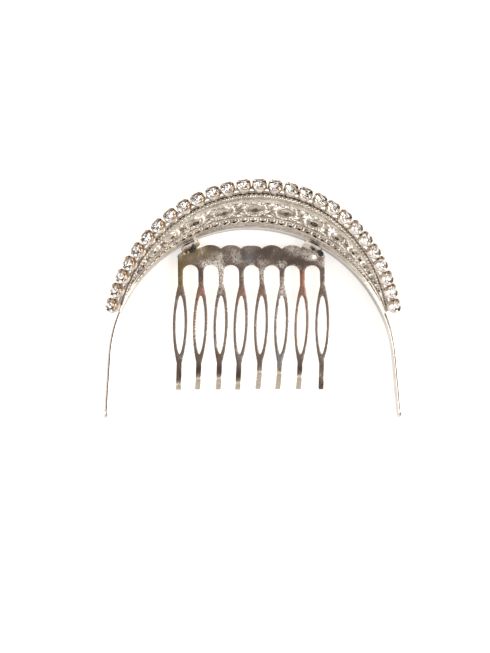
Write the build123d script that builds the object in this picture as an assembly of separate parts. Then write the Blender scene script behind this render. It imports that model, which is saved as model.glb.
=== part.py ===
from build123d import *
from math import cos, degrees, radians, sin, sqrt
import os

# Tiara comb. The front of the headband is an arc about a vertical axis; its apex faces -Y,
# the arms and the comb's teeth point to +Y, and the headband stands on z = 0.
# Heights of the ornament's rows are pairs: at the middle of the front, and at its two ends.

# Headband strip
BAND_RADIUS = 37.9
BAND_THICKNESS = 0.8
BAND_HEIGHT = 4.2
FRONT_HALF_ANGLE = 67.4
ARM_RADIUS = 34.0
ARM_SPLAY = 4.0
ARM_REACH = 12.6
ARM_END_ROUND = 1.5

# Flared ornament: a thin conical wall that starts on the headband's top edge
FLARE_SLOPE = 0.34
WALL = 0.8
ORNAMENT_HALF_ANGLE = 67.0
BASE_RAIL_TOP = (2.0, 0.7)
LOWER_RAIL_BOTTOM = (4.2, 0.9)
LOWER_RAIL_TOP = (5.0, 1.2)
UPPER_RAIL_BOTTOM = (12.2, 1.5)
UPPER_RAIL_TOP = (13.9, 1.8)
CREST_RAIL_BOTTOM = (14.5, 1.95)
CREST_RAIL_TOP = (17.3, 2.4)
CLEARANCE = 0.02

# Crest row: round stones in cups, tipped back towards the top
CREST_COUNT = 27
CREST_HALF_ANGLE = 65.6
CREST_TILT_MIDDLE = 54.0
CREST_TILT_END = 44.0
CUP_RIM_RADIUS = 1.95
CUP_BASE_RADIUS = 1.4
CUP_DEPTH = 2.3
CUP_SHOULDER = 1.2
CUP_BACK_HOLE = 0.55
SEAT_SLOPE = 0.82
SEAT_DROP = 0.12
PRONG_COUNT = 4
PRONG_WIDTH = 0.5
PRONG_RISE = 0.7
CLAW_REACH = 0.22
CLAW_THICKNESS = 0.28
CREST_STONE_RADIUS = 1.78
GIRDLE_DROP = 0.3
LINK_RADIUS = 0.24
LINK_HEIGHT = 0.5
BEAD_RADIUS_MIDDLE = 0.56
BEAD_RADIUS_END = 0.3
BEAD_SPACING = 0.1

# Round brilliants, as shares of their girdle radius
STONE_SIDES = 8
TABLE_RATIO = 0.56
CROWN_RATIO = 0.34
GIRDLE_RATIO = 0.06
PAVILION_RATIO = 0.8
CULET_RATIO = 0.05

# Small row between the base rail and the lower rail
SMALL_ROW_MIN_HEIGHT = 0.85
SMALL_ROW_SPACING = 0.3
SMALL_DEPTH_RATIO = 0.55

# Plain round settings, as shares of their outer radius or of their front's height
BORE_RATIO = 0.84
LIP_RATIO = 0.58
BORE_FLOOR_RATIO = 0.35
LIP_FLOOR_RATIO = 0.4
GIRDLE_DEPTH_RATIO = 0.2

# Pierced gallery
CELL_PITCH_RATIO = 1.07
CELL_MIN_HEIGHT = 1.7
RING_RATIO = 0.72
RING_WIRE_RATIO = 0.1
ARCH_RATIO = 0.225
ARCH_LIFT_RATIO = 0.6
ARCH_START = 12
SETTING_BACK = 0.3
SETTING_FRONT = 0.75

# Comb
TOOTH_COUNT = 8
TOOTH_PITCH = 5.38
TOOTH_HALF = 0.7
LOOP_HALF = 1.95
LOOP_OPENING_HALF = 1.12
COMB_THICKNESS = 0.7
COMB_UNDERSIDE = 1.9
SPINE_FRONT = 5.8
SCALLOP_RISE = 1.0
SLOT_TOP = 10.2
LOOP_START = 15.6
LOOP_END = 36.3
OPENING_START = 18.4
OPENING_END = 33.8
BEND_START = 36.6
BEND_RADIUS = 13.8
BEND_ANGLE = 28.0
EAR_ANGLE = 26.5
EAR_HALF = 2.6
EAR_TOP = 4.5
EAR_ROUND = 1.3
EAR_ROOT = 4.5
EAR_GAP = 0.12
PLATE_GAP = 0.1
OVERLAP = 0.5

# Solder joints between the ears and the headband
SOLDER_RADIUS = 0.5
SOLDER_ROUND = 0.35
SOLDER_HALF = 1.7
SOLDER_HEIGHT = 1.4
SOLDER_BEAD_DROP = 0.75
SOLDER_SEAM_DROP = 1.6
SOLDER_SINK = 0.1

UP = Vector(0, 0, 1)
outer_base_radius = BAND_RADIUS - BAND_THICKNESS / 2 + WALL
flare_cos = 1 / sqrt(1 + FLARE_SLOPE**2)
flare_sin = FLARE_SLOPE * flare_cos
parts = {}


def outward(angle):
    """Horizontal unit vector from the front's axis, at an angle from the apex."""
    return Vector(sin(radians(angle)), -cos(radians(angle)), 0)


def along(angle):
    """Horizontal unit vector along the front, towards +X."""
    return Vector(cos(radians(angle)), sin(radians(angle)), 0)


def midway(low, high):
    """Height pair midway between two height pairs."""
    return tuple((a + b) / 2 for a, b in zip(low, high))


def row_line(pair):
    """Slope of a row's tilted plane, and the forward distance of its end."""
    middle, end = pair
    reach = (outer_base_radius + FLARE_SLOPE * end) * cos(radians(ORNAMENT_HALF_ANGLE))
    slope = (middle - end) / (outer_base_radius + FLARE_SLOPE * middle - reach)
    return slope, reach


def row_height(pair, angle):
    """Height of a row above the headband where its plane meets the ornament's outer cone."""
    slope, reach = row_line(pair)
    c = cos(radians(angle))
    return (pair[1] + slope * (outer_base_radius * c - reach)) / (1 - slope * FLARE_SLOPE * c)


def on_wall(pair, angle, depth=0.0):
    """Point of a row on the ornament, at a horizontal depth inside the outer face."""
    height = row_height(pair, angle)
    radius = outer_base_radius + FLARE_SLOPE * height - depth
    return outward(angle) * radius + UP * (BAND_HEIGHT + height)


def row_direction(pair, angle):
    """Unit vector along a row."""
    step = 0.1
    return (on_wall(pair, angle + step) - on_wall(pair, angle - step)).normalized()


def row_cos(pair, angle):
    """Cosine of a row's slope along the front."""
    return row_direction(pair, angle).dot(along(angle))


def wall_plane(pair, angle, depth=WALL / 2):
    """Plane in the ornament's wall: x along the row, z outward."""
    normal = outward(angle) * flare_cos - UP * flare_sin
    x_dir = row_direction(pair, angle)
    x_dir = (x_dir - normal * x_dir.dot(normal)).normalized()
    return Plane(on_wall(pair, angle, depth), x_dir=x_dir, z_dir=normal)


def solid_of(shape):
    """The single solid of a result."""
    return shape.solids()[0]


def keep(name, *shapes):
    """Files shapes under a node name as separate solids."""
    solids = [solid for shape in shapes for solid in shape.solids()]
    parts.setdefault(name, []).extend(solids)


def mirrored(shape):
    """The shape on the other side of the middle plane."""
    return shape.mirror(Plane.YZ)


# ---- headband -------------------------------------------------------------------------

def band_half(offset):
    """Edges of the +X half of the band, from the apex to the arm's tip, and the tip point."""
    turn = FRONT_HALF_ANGLE - 90
    front = CenterArc((0, 0), BAND_RADIUS + offset, -90, FRONT_HALF_ANGLE)
    arm_centre = outward(FRONT_HALF_ANGLE) * (BAND_RADIUS - ARM_RADIUS)
    arm = CenterArc(arm_centre, ARM_RADIUS + offset, turn, -turn - ARM_SPLAY)
    start = arm @ 1
    run = (ARM_REACH - start.Y) / cos(radians(ARM_SPLAY))
    tip = start + Vector(sin(radians(ARM_SPLAY)), cos(radians(ARM_SPLAY)), 0) * run
    return [front, arm, Line(start, tip)], tip


def headband():
    """Whole strip, with rounded corners at the arms' ends."""
    inner, inner_tip = band_half(-BAND_THICKNESS / 2)
    outer, outer_tip = band_half(BAND_THICKNESS / 2)
    right = [*inner, *outer, Line(inner_tip, outer_tip)]
    left = [edge.mirror(Plane.YZ) for edge in right]
    band = extrude(make_face([*right, *left]), BAND_HEIGHT)
    tips = band.faces().filter_by(lambda face: face.center().Y > ARM_REACH - BAND_THICKNESS)
    corners = [edge for tip in tips for edge in tip.edges() if edge.length < BAND_HEIGHT / 2]
    return fillet(corners, ARM_END_ROUND)


# ---- ornament rails -------------------------------------------------------------------

def flared_wall():
    """Whole conical wall of the ornament, cut to the front's angle."""
    top = CREST_RAIL_TOP[0] + 2
    r_in = outer_base_radius - WALL
    r_out = outer_base_radius
    corners = [
        (r_in, BAND_HEIGHT),
        (r_out, BAND_HEIGHT),
        (r_out + FLARE_SLOPE * top, BAND_HEIGHT + top),
        (r_in + FLARE_SLOPE * top, BAND_HEIGHT + top),
    ]
    profile = Plane.XZ * make_face(Polyline(*corners, close=True))
    return revolve(profile, Axis.Z)


def sector():
    """Wedge that holds the front of the ornament."""
    far = 90
    edge = outward(ORNAMENT_HALF_ANGLE) * far
    corners = [(0, 0), (edge.X, edge.Y), (edge.X, -far), (-edge.X, -far), (-edge.X, edge.Y)]
    return extrude(make_face(Polyline(*corners, close=True)), far)


def between(low, high):
    """Slab between two rows' planes."""
    near = outer_base_radius * cos(radians(ORNAMENT_HALF_ANGLE)) - 2
    far = outer_base_radius + 10

    def at(pair, reach):
        slope, end_reach = row_line(pair)
        return Vector(0, -reach, BAND_HEIGHT + pair[1] + slope * (reach - end_reach))

    corners = [at(low, near), at(low, far), at(high, far), at(high, near)]
    return extrude(make_face(Polyline(*corners, close=True)), 60, dir=(1, 0, 0), both=True)


# ---- stones and settings --------------------------------------------------------------

def cut_stone(radius, doubled):
    """Round brilliant on z: girdle at z = 0, table above, point below; doubled has twice the facets."""
    girdle = GIRDLE_RATIO * radius

    def level(z, size):
        return Plane.XY.offset(z) * RegularPolygon(size, STONE_SIDES)

    stone = loft([level(-PAVILION_RATIO * radius, CULET_RATIO * radius), level(-girdle, radius)], ruled=True)
    stone += extrude(level(-girdle, radius), girdle)
    stone += loft([level(0, radius), level(CROWN_RATIO * radius, TABLE_RATIO * radius)], ruled=True)
    if doubled:
        stone &= Rot(0, 0, 180 / STONE_SIDES) * stone
    return solid_of(stone)


def crest_cup():
    """Cup with a pierced back, a conical seat and four prongs; base at z = 0."""
    girdle_z = CUP_DEPTH - GIRDLE_DROP
    seat = CREST_STONE_RADIUS + CLEARANCE
    seat_z = girdle_z - SEAT_DROP
    outline = Polyline(
        (CUP_BACK_HOLE, 0),
        (CUP_BASE_RADIUS, 0),
        (CUP_RIM_RADIUS, CUP_SHOULDER),
        (CUP_RIM_RADIUS, CUP_DEPTH),
        (seat, CUP_DEPTH),
        (seat, seat_z),
        (CUP_BACK_HOLE, seat_z - (seat - CUP_BACK_HOLE) * SEAT_SLOPE),
        close=True,
    )
    cup = revolve(Plane.XZ * make_face(outline), Axis.Z)
    thickness = CUP_RIM_RADIUS - seat
    prong_top = girdle_z + PRONG_RISE
    for i in range(PRONG_COUNT):
        turn = Rot(0, 0, 360 / PRONG_COUNT * (i + 0.5))
        post = Pos(seat + thickness / 2, 0, prong_top - PRONG_RISE / 2) * Box(thickness, PRONG_WIDTH, PRONG_RISE)
        claw_x = seat + (thickness - CLAW_REACH) / 2
        claw = Pos(claw_x, 0, prong_top - CLAW_THICKNESS / 2)
        cup += turn * post
        cup += turn * claw * Box(thickness + CLAW_REACH, PRONG_WIDTH, CLAW_THICKNESS)
    return solid_of(cup)


def round_setting(radius, back, front):
    """Plain ring setting on z, open at the back, with its inner seat."""
    bore = radius * BORE_RATIO
    lip = radius * LIP_RATIO
    outline = Polyline(
        (lip, -back),
        (radius, -back),
        (radius, front),
        (bore, front),
        (bore, front * BORE_FLOOR_RATIO),
        (lip, -back * LIP_FLOOR_RATIO),
        close=True,
    )
    return revolve(Plane.XZ * make_face(outline), Axis.Z)


def set_stone(radius, front, doubled):
    """Stone that drops into round_setting, girdle just under the lip."""
    girdle_z = front - GIRDLE_DEPTH_RATIO * radius
    return Pos(0, 0, girdle_z) * cut_stone(radius * BORE_RATIO - CLEARANCE, doubled)


def wire_arc(radius, wire, start, sweep):
    """Part of a ring of round wire in the XY plane, centred on the origin."""
    section = Plane.XZ * Pos(radius, 0) * Circle(wire)
    arc = revolve(section, Axis.Z, revolution_arc=sweep)
    return Rot(0, 0, start) * arc


# ---- crest ----------------------------------------------------------------------------

def crest_tilt(angle):
    """Angle of a cup's axis above the horizontal."""
    end = cos(radians(CREST_HALF_ANGLE))
    share = (cos(radians(angle)) - end) / (1 - end)
    return CREST_TILT_END + (CREST_TILT_MIDDLE - CREST_TILT_END) * share


def crest_plane(angle):
    """Plane of a cup's base: on the crest rail's outer top corner, z along the cup's axis."""
    direction = row_direction(CREST_RAIL_TOP, angle)
    tilt = radians(crest_tilt(angle))
    axis = outward(angle) * cos(tilt) + UP * sin(tilt)
    axis = (axis - direction * axis.dot(direction)).normalized()
    base = on_wall(CREST_RAIL_TOP, angle) + axis * CLEARANCE
    return Plane(base, x_dir=direction, z_dir=axis)


def rim_point(angle):
    """Middle of a cup's rim."""
    plane = crest_plane(angle)
    return plane.origin + plane.z_dir * CUP_DEPTH


def crest_angles():
    """Angles of the middle cup and the +X cups, equally spaced along the line through the rims."""
    steps = 600
    grid = [CREST_HALF_ANGLE * i / steps for i in range(steps + 1)]
    run = [0.0]
    for a, b in zip(grid, grid[1:]):
        run.append(run[-1] + (rim_point(b) - rim_point(a)).length)
    half = CREST_COUNT // 2
    angles = []
    for k in range(half + 1):
        wanted = run[-1] * k / half
        nearest = min(range(steps + 1), key=lambda i: abs(run[i] - wanted))
        angles.append(grid[nearest])
    print("crest pitch", round(run[-1] / half, 3))
    return angles


def crest_row(angles):
    """Cups and stones: the middle one, and mirrored pairs."""
    cup = crest_cup()
    stone = Pos(0, 0, CUP_DEPTH - GIRDLE_DROP) * cut_stone(CREST_STONE_RADIUS, doubled=True)
    for k, angle in enumerate(angles):
        plane = crest_plane(angle)
        for name, shape in (("crest_setting", cup), ("crest_stone", stone)):
            placed = solid_of(plane * shape)
            keep(f"{name}_{k:02d}", placed)
            if angle:
                keep(f"{name}_{k:02d}", mirrored(placed))


def chain_links(angles):
    """Short round links between neighbouring cups, near their bases."""
    widening = (CUP_RIM_RADIUS - CUP_BASE_RADIUS) * LINK_HEIGHT / CUP_SHOULDER
    cup_radius = CUP_BASE_RADIUS + widening + CLEARANCE
    for a, b in zip(angles, angles[1:]):
        start = crest_plane(a).origin + crest_plane(a).z_dir * LINK_HEIGHT
        end = crest_plane(b).origin + crest_plane(b).z_dir * LINK_HEIGHT
        way = (end - start).normalized()
        length = (end - start).length - 2 * cup_radius
        middle = Plane((start + end) / 2, z_dir=way)
        link = middle * Cylinder(LINK_RADIUS, length)
        keep("chain_links", link, mirrored(link))


def crest_beads():
    """Balls along the inner top corner of the crest rail, smaller towards the ends."""
    angle = 0.0
    while angle < CREST_HALF_ANGLE:
        share = angle / CREST_HALF_ANGLE
        radius = BEAD_RADIUS_MIDDLE + (BEAD_RADIUS_END - BEAD_RADIUS_MIDDLE) * share
        corner = wall_plane(CREST_RAIL_TOP, angle, WALL)
        bead = corner * Pos(0, -radius, -radius - CLEARANCE) * Sphere(radius)
        keep("crest_beads", bead)
        if angle:
            keep("crest_beads", mirrored(bead))
        row_radius = outer_base_radius + FLARE_SLOPE * row_height(CREST_RAIL_TOP, angle) - WALL - radius
        angle += degrees((2 * radius + BEAD_SPACING) / row_radius)


# ---- rows of settings -----------------------------------------------------------------

def small_row():
    """Small round settings that fill the slot between the base rail and the lower rail."""
    middle = midway(BASE_RAIL_TOP, LOWER_RAIL_BOTTOM)
    slot = between(BASE_RAIL_TOP, LOWER_RAIL_BOTTOM)
    angle = 0.0
    while True:
        height = row_height(LOWER_RAIL_BOTTOM, angle) - row_height(BASE_RAIL_TOP, angle)
        if height < SMALL_ROW_MIN_HEIGHT:
            break
        radius = height / flare_cos / 2 * row_cos(LOWER_RAIL_BOTTOM, angle) - CLEARANCE
        front = SMALL_DEPTH_RATIO * radius + WALL / 2
        plane = wall_plane(middle, angle)
        setting = plane * round_setting(radius, WALL / 2, front) & slot
        stone = plane * set_stone(radius, front, doubled=False)
        keep("small_row_settings", setting)
        keep("small_row_stones", stone)
        if angle:
            keep("small_row_settings", mirrored(setting))
            keep("small_row_stones", mirrored(stone))
        angle += degrees((height + SMALL_ROW_SPACING) / outer_base_radius)


def gallery_height(angle):
    """Clear height of the gallery, measured up the slope."""
    low = row_height(LOWER_RAIL_TOP, angle)
    high = row_height(UPPER_RAIL_BOTTOM, angle)
    return (high - low) / flare_cos


def gallery_cell(angle, slot):
    """Round frame with its setting and stone, and the two balls that join it to the rails."""
    height = gallery_height(angle)
    middle = midway(LOWER_RAIL_TOP, UPPER_RAIL_BOTTOM)
    plane = wall_plane(middle, angle)
    ring_radius = height * RING_RATIO / 2
    wire = height * RING_WIRE_RATIO / 2
    clear = height / 2 * row_cos(UPPER_RAIL_BOTTOM, angle)
    ball = (clear - ring_radius) / 2 - CLEARANCE
    setting_radius = ring_radius - 2 * wire - CLEARANCE
    ring = plane * wire_arc(ring_radius - wire, wire, 0, 360)
    lift = ring_radius + ball + CLEARANCE
    balls = [plane * Pos(0, side * lift, 0) * Sphere(ball) & slot for side in (-1, 1)]
    setting = plane * round_setting(setting_radius, SETTING_BACK, SETTING_FRONT)
    stone = plane * set_stone(setting_radius, SETTING_FRONT, doubled=True)
    made = {"gallery_rings": [ring], "gallery_beads": balls}
    made["gallery_settings" if angle else "centre_setting"] = [setting]
    made["gallery_stones" if angle else "centre_stone"] = [stone]
    for name, shapes in made.items():
        for shape in shapes:
            keep(name, shape)
            if angle:
                keep(name, mirrored(shape))


def gallery_arch(angle):
    """Half-round wires on both rails, midway between two round frames."""
    height = gallery_height(angle)
    wire = height * RING_WIRE_RATIO / 2
    radius = height * ARCH_RATIO
    for rail, side, turn in ((LOWER_RAIL_TOP, 1, 0), (UPPER_RAIL_BOTTOM, -1, 180)):
        plane = wall_plane(rail, angle)
        foot = Pos(0, side * wire * ARCH_LIFT_RATIO, 0)
        arch = plane * foot * wire_arc(radius, wire, turn + ARCH_START, 180 - 2 * ARCH_START)
        keep("gallery_arches", arch, mirrored(arch))


def gallery():
    """Round frames from the middle outwards, as long as there is room, with arches between them."""
    slot = between(LOWER_RAIL_TOP, UPPER_RAIL_BOTTOM)
    angle = 0.0
    while gallery_height(angle) > CELL_MIN_HEIGHT:
        gallery_cell(angle, slot)
        step = degrees(gallery_height(angle) * CELL_PITCH_RATIO / (outer_base_radius + 2))
        if gallery_height(angle + step / 2) > CELL_MIN_HEIGHT:
            gallery_arch(angle + step / 2)
        angle += step


# ---- comb -----------------------------------------------------------------------------

def comb_y(depth):
    """Y of a depth behind the front's apex."""
    return depth - BAND_RADIUS


def tooth(x):
    """Flat part of a looped tooth: neck, pointed loop with its opening, start of the stem."""
    neck_start = comb_y(SLOT_TOP)
    start, end = comb_y(LOOP_START), comb_y(LOOP_END)
    middle = (start + end) / 2
    neck = Pos(0, (neck_start + start) / 2) * Rectangle(2 * TOOTH_HALF, start - neck_start + OVERLAP)
    loop_edges = [
        ThreePointArc((TOOTH_HALF, start), (LOOP_HALF, middle), (TOOTH_HALF, end)),
        Line((TOOTH_HALF, end), (-TOOTH_HALF, end)),
        ThreePointArc((-TOOTH_HALF, end), (-LOOP_HALF, middle), (-TOOTH_HALF, start)),
        Line((-TOOTH_HALF, start), (TOOTH_HALF, start)),
    ]
    open_start, open_end = comb_y(OPENING_START), comb_y(OPENING_END)
    open_middle = (open_start + open_end) / 2
    opening = make_face([
        ThreePointArc((0, open_start), (LOOP_OPENING_HALF, open_middle), (0, open_end)),
        ThreePointArc((0, open_end), (-LOOP_OPENING_HALF, open_middle), (0, open_start)),
    ])
    stem_end = comb_y(BEND_START)
    stem = Pos(0, (end - OVERLAP + stem_end) / 2) * Rectangle(2 * TOOTH_HALF, stem_end - end + OVERLAP)
    return Pos(x, 0) * (neck + make_face(loop_edges) + stem - opening)


def tooth_tip(x):
    """Stem that curves down to the tooth's square tip."""
    top = COMB_UNDERSIDE + COMB_THICKNESS
    centre = Vector(comb_y(BEND_START), top - BEND_RADIUS)
    inner_radius = BEND_RADIUS - COMB_THICKNESS
    end = Vector(sin(radians(BEND_ANGLE)), cos(radians(BEND_ANGLE)))
    outline = make_face([
        CenterArc(centre, BEND_RADIUS, 90 - BEND_ANGLE, BEND_ANGLE),
        Line(centre + Vector(0, BEND_RADIUS), centre + Vector(0, inner_radius)),
        CenterArc(centre, inner_radius, 90 - BEND_ANGLE, BEND_ANGLE),
        Line(centre + end * BEND_RADIUS, centre + end * inner_radius),
    ])
    return Pos(x, 0, 0) * extrude(Plane.YZ * outline, TOOTH_HALF, both=True)


def ear_reach():
    """Distance from the front's axis to the outer face of an ear, at its middle."""
    return BAND_RADIUS - BAND_THICKNESS / 2 - EAR_GAP


def ear():
    """Corner scallop folded up along the headband, with its root in the plate, on the +X side."""
    direction = outward(EAR_ANGLE)
    upright = Plane(direction * ear_reach(), x_dir=along(EAR_ANGLE), z_dir=direction)
    height = EAR_TOP - COMB_UNDERSIDE
    face = Pos(0, COMB_UNDERSIDE + height / 2) * Rectangle(2 * EAR_HALF, height)
    face = fillet(face.vertices().group_by(Axis.Y)[-1], EAR_ROUND)
    plate = extrude(upright * face, -COMB_THICKNESS)
    root_middle = direction * (ear_reach() - EAR_ROOT / 2) + UP * COMB_UNDERSIDE
    root = Plane(root_middle, x_dir=along(EAR_ANGLE), z_dir=UP) * Rectangle(2 * EAR_HALF, EAR_ROOT)
    return plate + extrude(root, COMB_THICKNESS)


def beyond_ear():
    """Block outside the plane of the +X ear's outer face."""
    depth = 4
    width = 30
    outside = Plane(outward(EAR_ANGLE) * ear_reach(), z_dir=outward(EAR_ANGLE))
    return outside * Pos(0, 0, depth / 2) * Box(width, width, depth)


def comb_outline(xs):
    """Flat outline of the comb: scalloped spine, slots and looped teeth at the given places."""
    slots = [(a + b) / 2 for a, b in zip(xs, xs[1:])]
    slot_radius = TOOTH_PITCH / 2 - TOOTH_HALF
    half_pitch = TOOTH_PITCH / 2
    front, back = comb_y(SPINE_FRONT), comb_y(SLOT_TOP) + slot_radius
    half_width = xs[-1] + TOOTH_HALF
    plate = Pos(0, (front + back) / 2) * Rectangle(2 * half_width, back - front)
    for x in slots[1:-1]:
        left, right = (x - half_pitch, front), (x + half_pitch, front)
        plate += make_face([ThreePointArc(left, (x, front - SCALLOP_RISE), right), Line(right, left)])
    for x in slots:
        plate -= Pos(x, back) * Circle(slot_radius)
    for x in xs:
        plate += tooth(x)
    return plate


def comb():
    """Whole comb, one solid."""
    xs = [(i - (TOOTH_COUNT - 1) / 2) * TOOTH_PITCH for i in range(TOOTH_COUNT)]
    body = Pos(0, 0, COMB_UNDERSIDE) * extrude(comb_outline(xs), COMB_THICKNESS)
    body += ear()
    body += mirrored(ear())
    for x in xs:
        body += tooth_tip(x)
    body &= Cylinder(BAND_RADIUS - BAND_THICKNESS / 2 - PLATE_GAP, 4 * BAND_HEIGHT)
    body -= beyond_ear()
    body -= mirrored(beyond_ear())
    return solid_of(body)


def solder(band, comb_solid):
    """Solder along the top of the +X ear, filled out to the headband."""
    direction = outward(EAR_ANGLE)
    bead_middle = direction * (ear_reach() - SOLDER_SINK) + UP * (EAR_TOP - SOLDER_BEAD_DROP)
    bead = Plane(bead_middle, z_dir=along(EAR_ANGLE)) * Cylinder(SOLDER_RADIUS, 2 * SOLDER_HALF)
    bead = fillet(bead.edges(), SOLDER_ROUND)
    seam_middle = direction * ear_reach() + UP * (EAR_TOP - SOLDER_SEAM_DROP)
    seam_plane = Plane(seam_middle, x_dir=along(EAR_ANGLE), z_dir=direction)
    seam = seam_plane * Pos(0, 0, EAR_GAP) * Box(2 * SOLDER_HALF, SOLDER_HEIGHT, 2 * EAR_GAP)
    filled = bead + seam - band - comb_solid
    return max(filled.solids(), key=lambda solid: solid.volume)


# ---- assembly -------------------------------------------------------------------------

band = headband()
comb_solid = comb()
joint = solder(band, comb_solid)
keep("headband", band)
keep("comb", comb_solid)
keep("solder_right", joint)
keep("solder_left", mirrored(joint))

wall = flared_wall() & sector()
keep("base_rail", wall & between((0, 0), BASE_RAIL_TOP))
keep("lower_rail", wall & between(LOWER_RAIL_BOTTOM, LOWER_RAIL_TOP))
keep("upper_rail", wall & between(UPPER_RAIL_BOTTOM, UPPER_RAIL_TOP))
keep("crest_rail", wall & between(CREST_RAIL_BOTTOM, CREST_RAIL_TOP))
small_row()
gallery()
crest = crest_angles()
crest_row(crest)
chain_links(crest)
crest_beads()

# The origin is the middle of the whole object's footprint, at the height of its feet.
whole = Compound([solid for solids in parts.values() for solid in solids])
box = whole.bounding_box()
shift = Pos(0, -(box.min.Y + box.max.Y) / 2, 0)
print("origin moved by", shift.position, "overall", box.size)

os.makedirs("parts", exist_ok=True)
for name, solids in parts.items():
    placed = [shift * solid for solid in solids]
    node = placed[0] if len(placed) == 1 else Compound(placed)
    export_step(node, f"parts/{name}.step")
    print(name, len(placed))
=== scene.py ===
import random
from math import atan2, ceil, cos, degrees, exp, hypot, pi, radians, sin, sqrt, tan

import bmesh
import bpy
from mathutils import Matrix, Vector, geometry, noise


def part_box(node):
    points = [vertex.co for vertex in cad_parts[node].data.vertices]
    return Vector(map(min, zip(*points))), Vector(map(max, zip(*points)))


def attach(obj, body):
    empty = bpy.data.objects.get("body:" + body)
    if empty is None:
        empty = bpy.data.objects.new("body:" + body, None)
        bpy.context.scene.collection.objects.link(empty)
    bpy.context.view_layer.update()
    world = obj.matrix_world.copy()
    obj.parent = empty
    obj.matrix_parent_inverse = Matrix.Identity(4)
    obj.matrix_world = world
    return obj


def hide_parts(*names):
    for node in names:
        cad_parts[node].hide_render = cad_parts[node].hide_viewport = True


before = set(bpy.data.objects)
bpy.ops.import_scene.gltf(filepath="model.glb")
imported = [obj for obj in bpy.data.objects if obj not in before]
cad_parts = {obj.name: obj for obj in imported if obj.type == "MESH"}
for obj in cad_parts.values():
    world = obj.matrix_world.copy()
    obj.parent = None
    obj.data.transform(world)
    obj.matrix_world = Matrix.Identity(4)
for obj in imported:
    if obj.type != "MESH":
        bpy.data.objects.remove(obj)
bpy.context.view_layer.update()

# Shapes are worked out in millimetres around the axis of the headband's front arc, and
# placed() turns a point into the row frame. Angles are in degrees from the front's apex.
# Heights of the ornament's rows are pairs: at the middle of the front, and at its two ends.

MM = 0.001
BAND_RADIUS = 37.9
BAND_THICKNESS = 0.8
BAND_HEIGHT = 4.2
FRONT_HALF_ANGLE = 67.4
ARM_RADIUS = 34.0
ARM_SPLAY = 4.0
ARM_REACH = 12.6
ARM_END_ROUND = 1.5

FLARE_SLOPE = 0.34
WALL = 0.8
ORNAMENT_HALF_ANGLE = 67.0
BASE_RAIL_BOTTOM = (0.0, 0.0)
BASE_RAIL_TOP = (2.0, 0.7)
LOWER_RAIL_BOTTOM = (4.2, 0.9)
LOWER_RAIL_TOP = (5.0, 1.2)
UPPER_RAIL_BOTTOM = (12.2, 1.5)
UPPER_RAIL_TOP = (13.9, 1.8)
CREST_RAIL_BOTTOM = (14.5, 1.95)
CREST_RAIL_TOP = (17.3, 2.4)

CREST_COUNT = 27
CREST_HALF_ANGLE = 65.6
CREST_TILT_MIDDLE = 54.0
CREST_TILT_END = 44.0
CUP_RIM_RADIUS = 1.95
CUP_BASE_RADIUS = 1.4
CUP_DEPTH = 2.3
STONE_RADIUS = 1.45
GIRDLE_DROP = 0.3
BEAD_RADIUS_MIDDLE = 0.56
BEAD_RADIUS_END = 0.3
BEAD_SPACING = 0.1

SMALL_ROW_MIN_HEIGHT = 0.85
SMALL_ROW_SPACING = 0.3
SMALL_DEPTH_RATIO = 0.55
CELL_PITCH_RATIO = 1.07
CELL_MIN_HEIGHT = 1.7
RING_RATIO = 0.72
RING_WIRE_RATIO = 0.1
ARCH_RATIO = 0.225
SETTING_BACK = 0.3
SETTING_FRONT = 0.75

TOOTH_COUNT = 8
TOOTH_PITCH = 5.38
TOOTH_HALF = 0.7
LOOP_HALF = 1.95
LOOP_OPENING_HALF = 1.12
COMB_THICKNESS = 0.7
COMB_UNDERSIDE = 1.9
SPINE_FRONT = 5.8
SCALLOP_RISE = 1.0
SLOT_TOP = 10.2
LOOP_START = 15.6
LOOP_END = 36.3
OPENING_START = 18.4
OPENING_END = 33.8
BEND_START = 36.6
BEND_RADIUS = 13.8
BEND_ANGLE = 28.0
EAR_ANGLE = 26.5
EAR_HALF = 2.6
EAR_TOP = 4.5
EAR_ROUND = 1.3
EAR_GAP = 0.12

UP = Vector((0, 0, 1))
base_radius = BAND_RADIUS - BAND_THICKNESS / 2 + WALL
flare_cos = 1 / sqrt(1 + FLARE_SLOPE**2)
flare_sin = FLARE_SLOPE * flare_cos
# The front arc's axis lies this far behind the frame's origin.
axis_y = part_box("headband")[0].y / MM + BAND_RADIUS + BAND_THICKNESS / 2


# ---- places on the ornament -------------------------------------------------------------

def outward(angle):
    """Direction away from the front arc's axis."""
    return Vector((sin(radians(angle)), -cos(radians(angle)), 0))


def along(angle):
    """Direction along the front arc, towards +X."""
    return Vector((cos(radians(angle)), sin(radians(angle)), 0))


def placed(point):
    """A millimetre point around the front's axis, in metres in the row frame."""
    return (point[0] * MM, (point[1] + axis_y) * MM, point[2] * MM)


def midway(low, high):
    return tuple((a + b) / 2 for a, b in zip(low, high))


def row_line(pair):
    """Slope and end of the straight line that a row's edge makes when seen from the side."""
    middle, end = pair
    reach = (base_radius + FLARE_SLOPE * end) * cos(radians(ORNAMENT_HALF_ANGLE))
    slope = (middle - end) / (base_radius + FLARE_SLOPE * middle - reach)
    return slope, reach


def row_height(pair, angle):
    """Height of a row's edge above the headband."""
    slope, reach = row_line(pair)
    c = cos(radians(angle))
    return (pair[1] + slope * (base_radius * c - reach)) / (1 - slope * FLARE_SLOPE * c)


def on_wall(pair, angle, depth=0.0):
    """Point of a row's edge on the wall's outer face, or at a depth inside it."""
    height = row_height(pair, angle)
    radius = base_radius + FLARE_SLOPE * height - depth
    return outward(angle) * radius + UP * (BAND_HEIGHT + height)


def row_direction(pair, angle):
    step = 0.1
    return (on_wall(pair, angle + step) - on_wall(pair, angle - step)).normalized()


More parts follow.
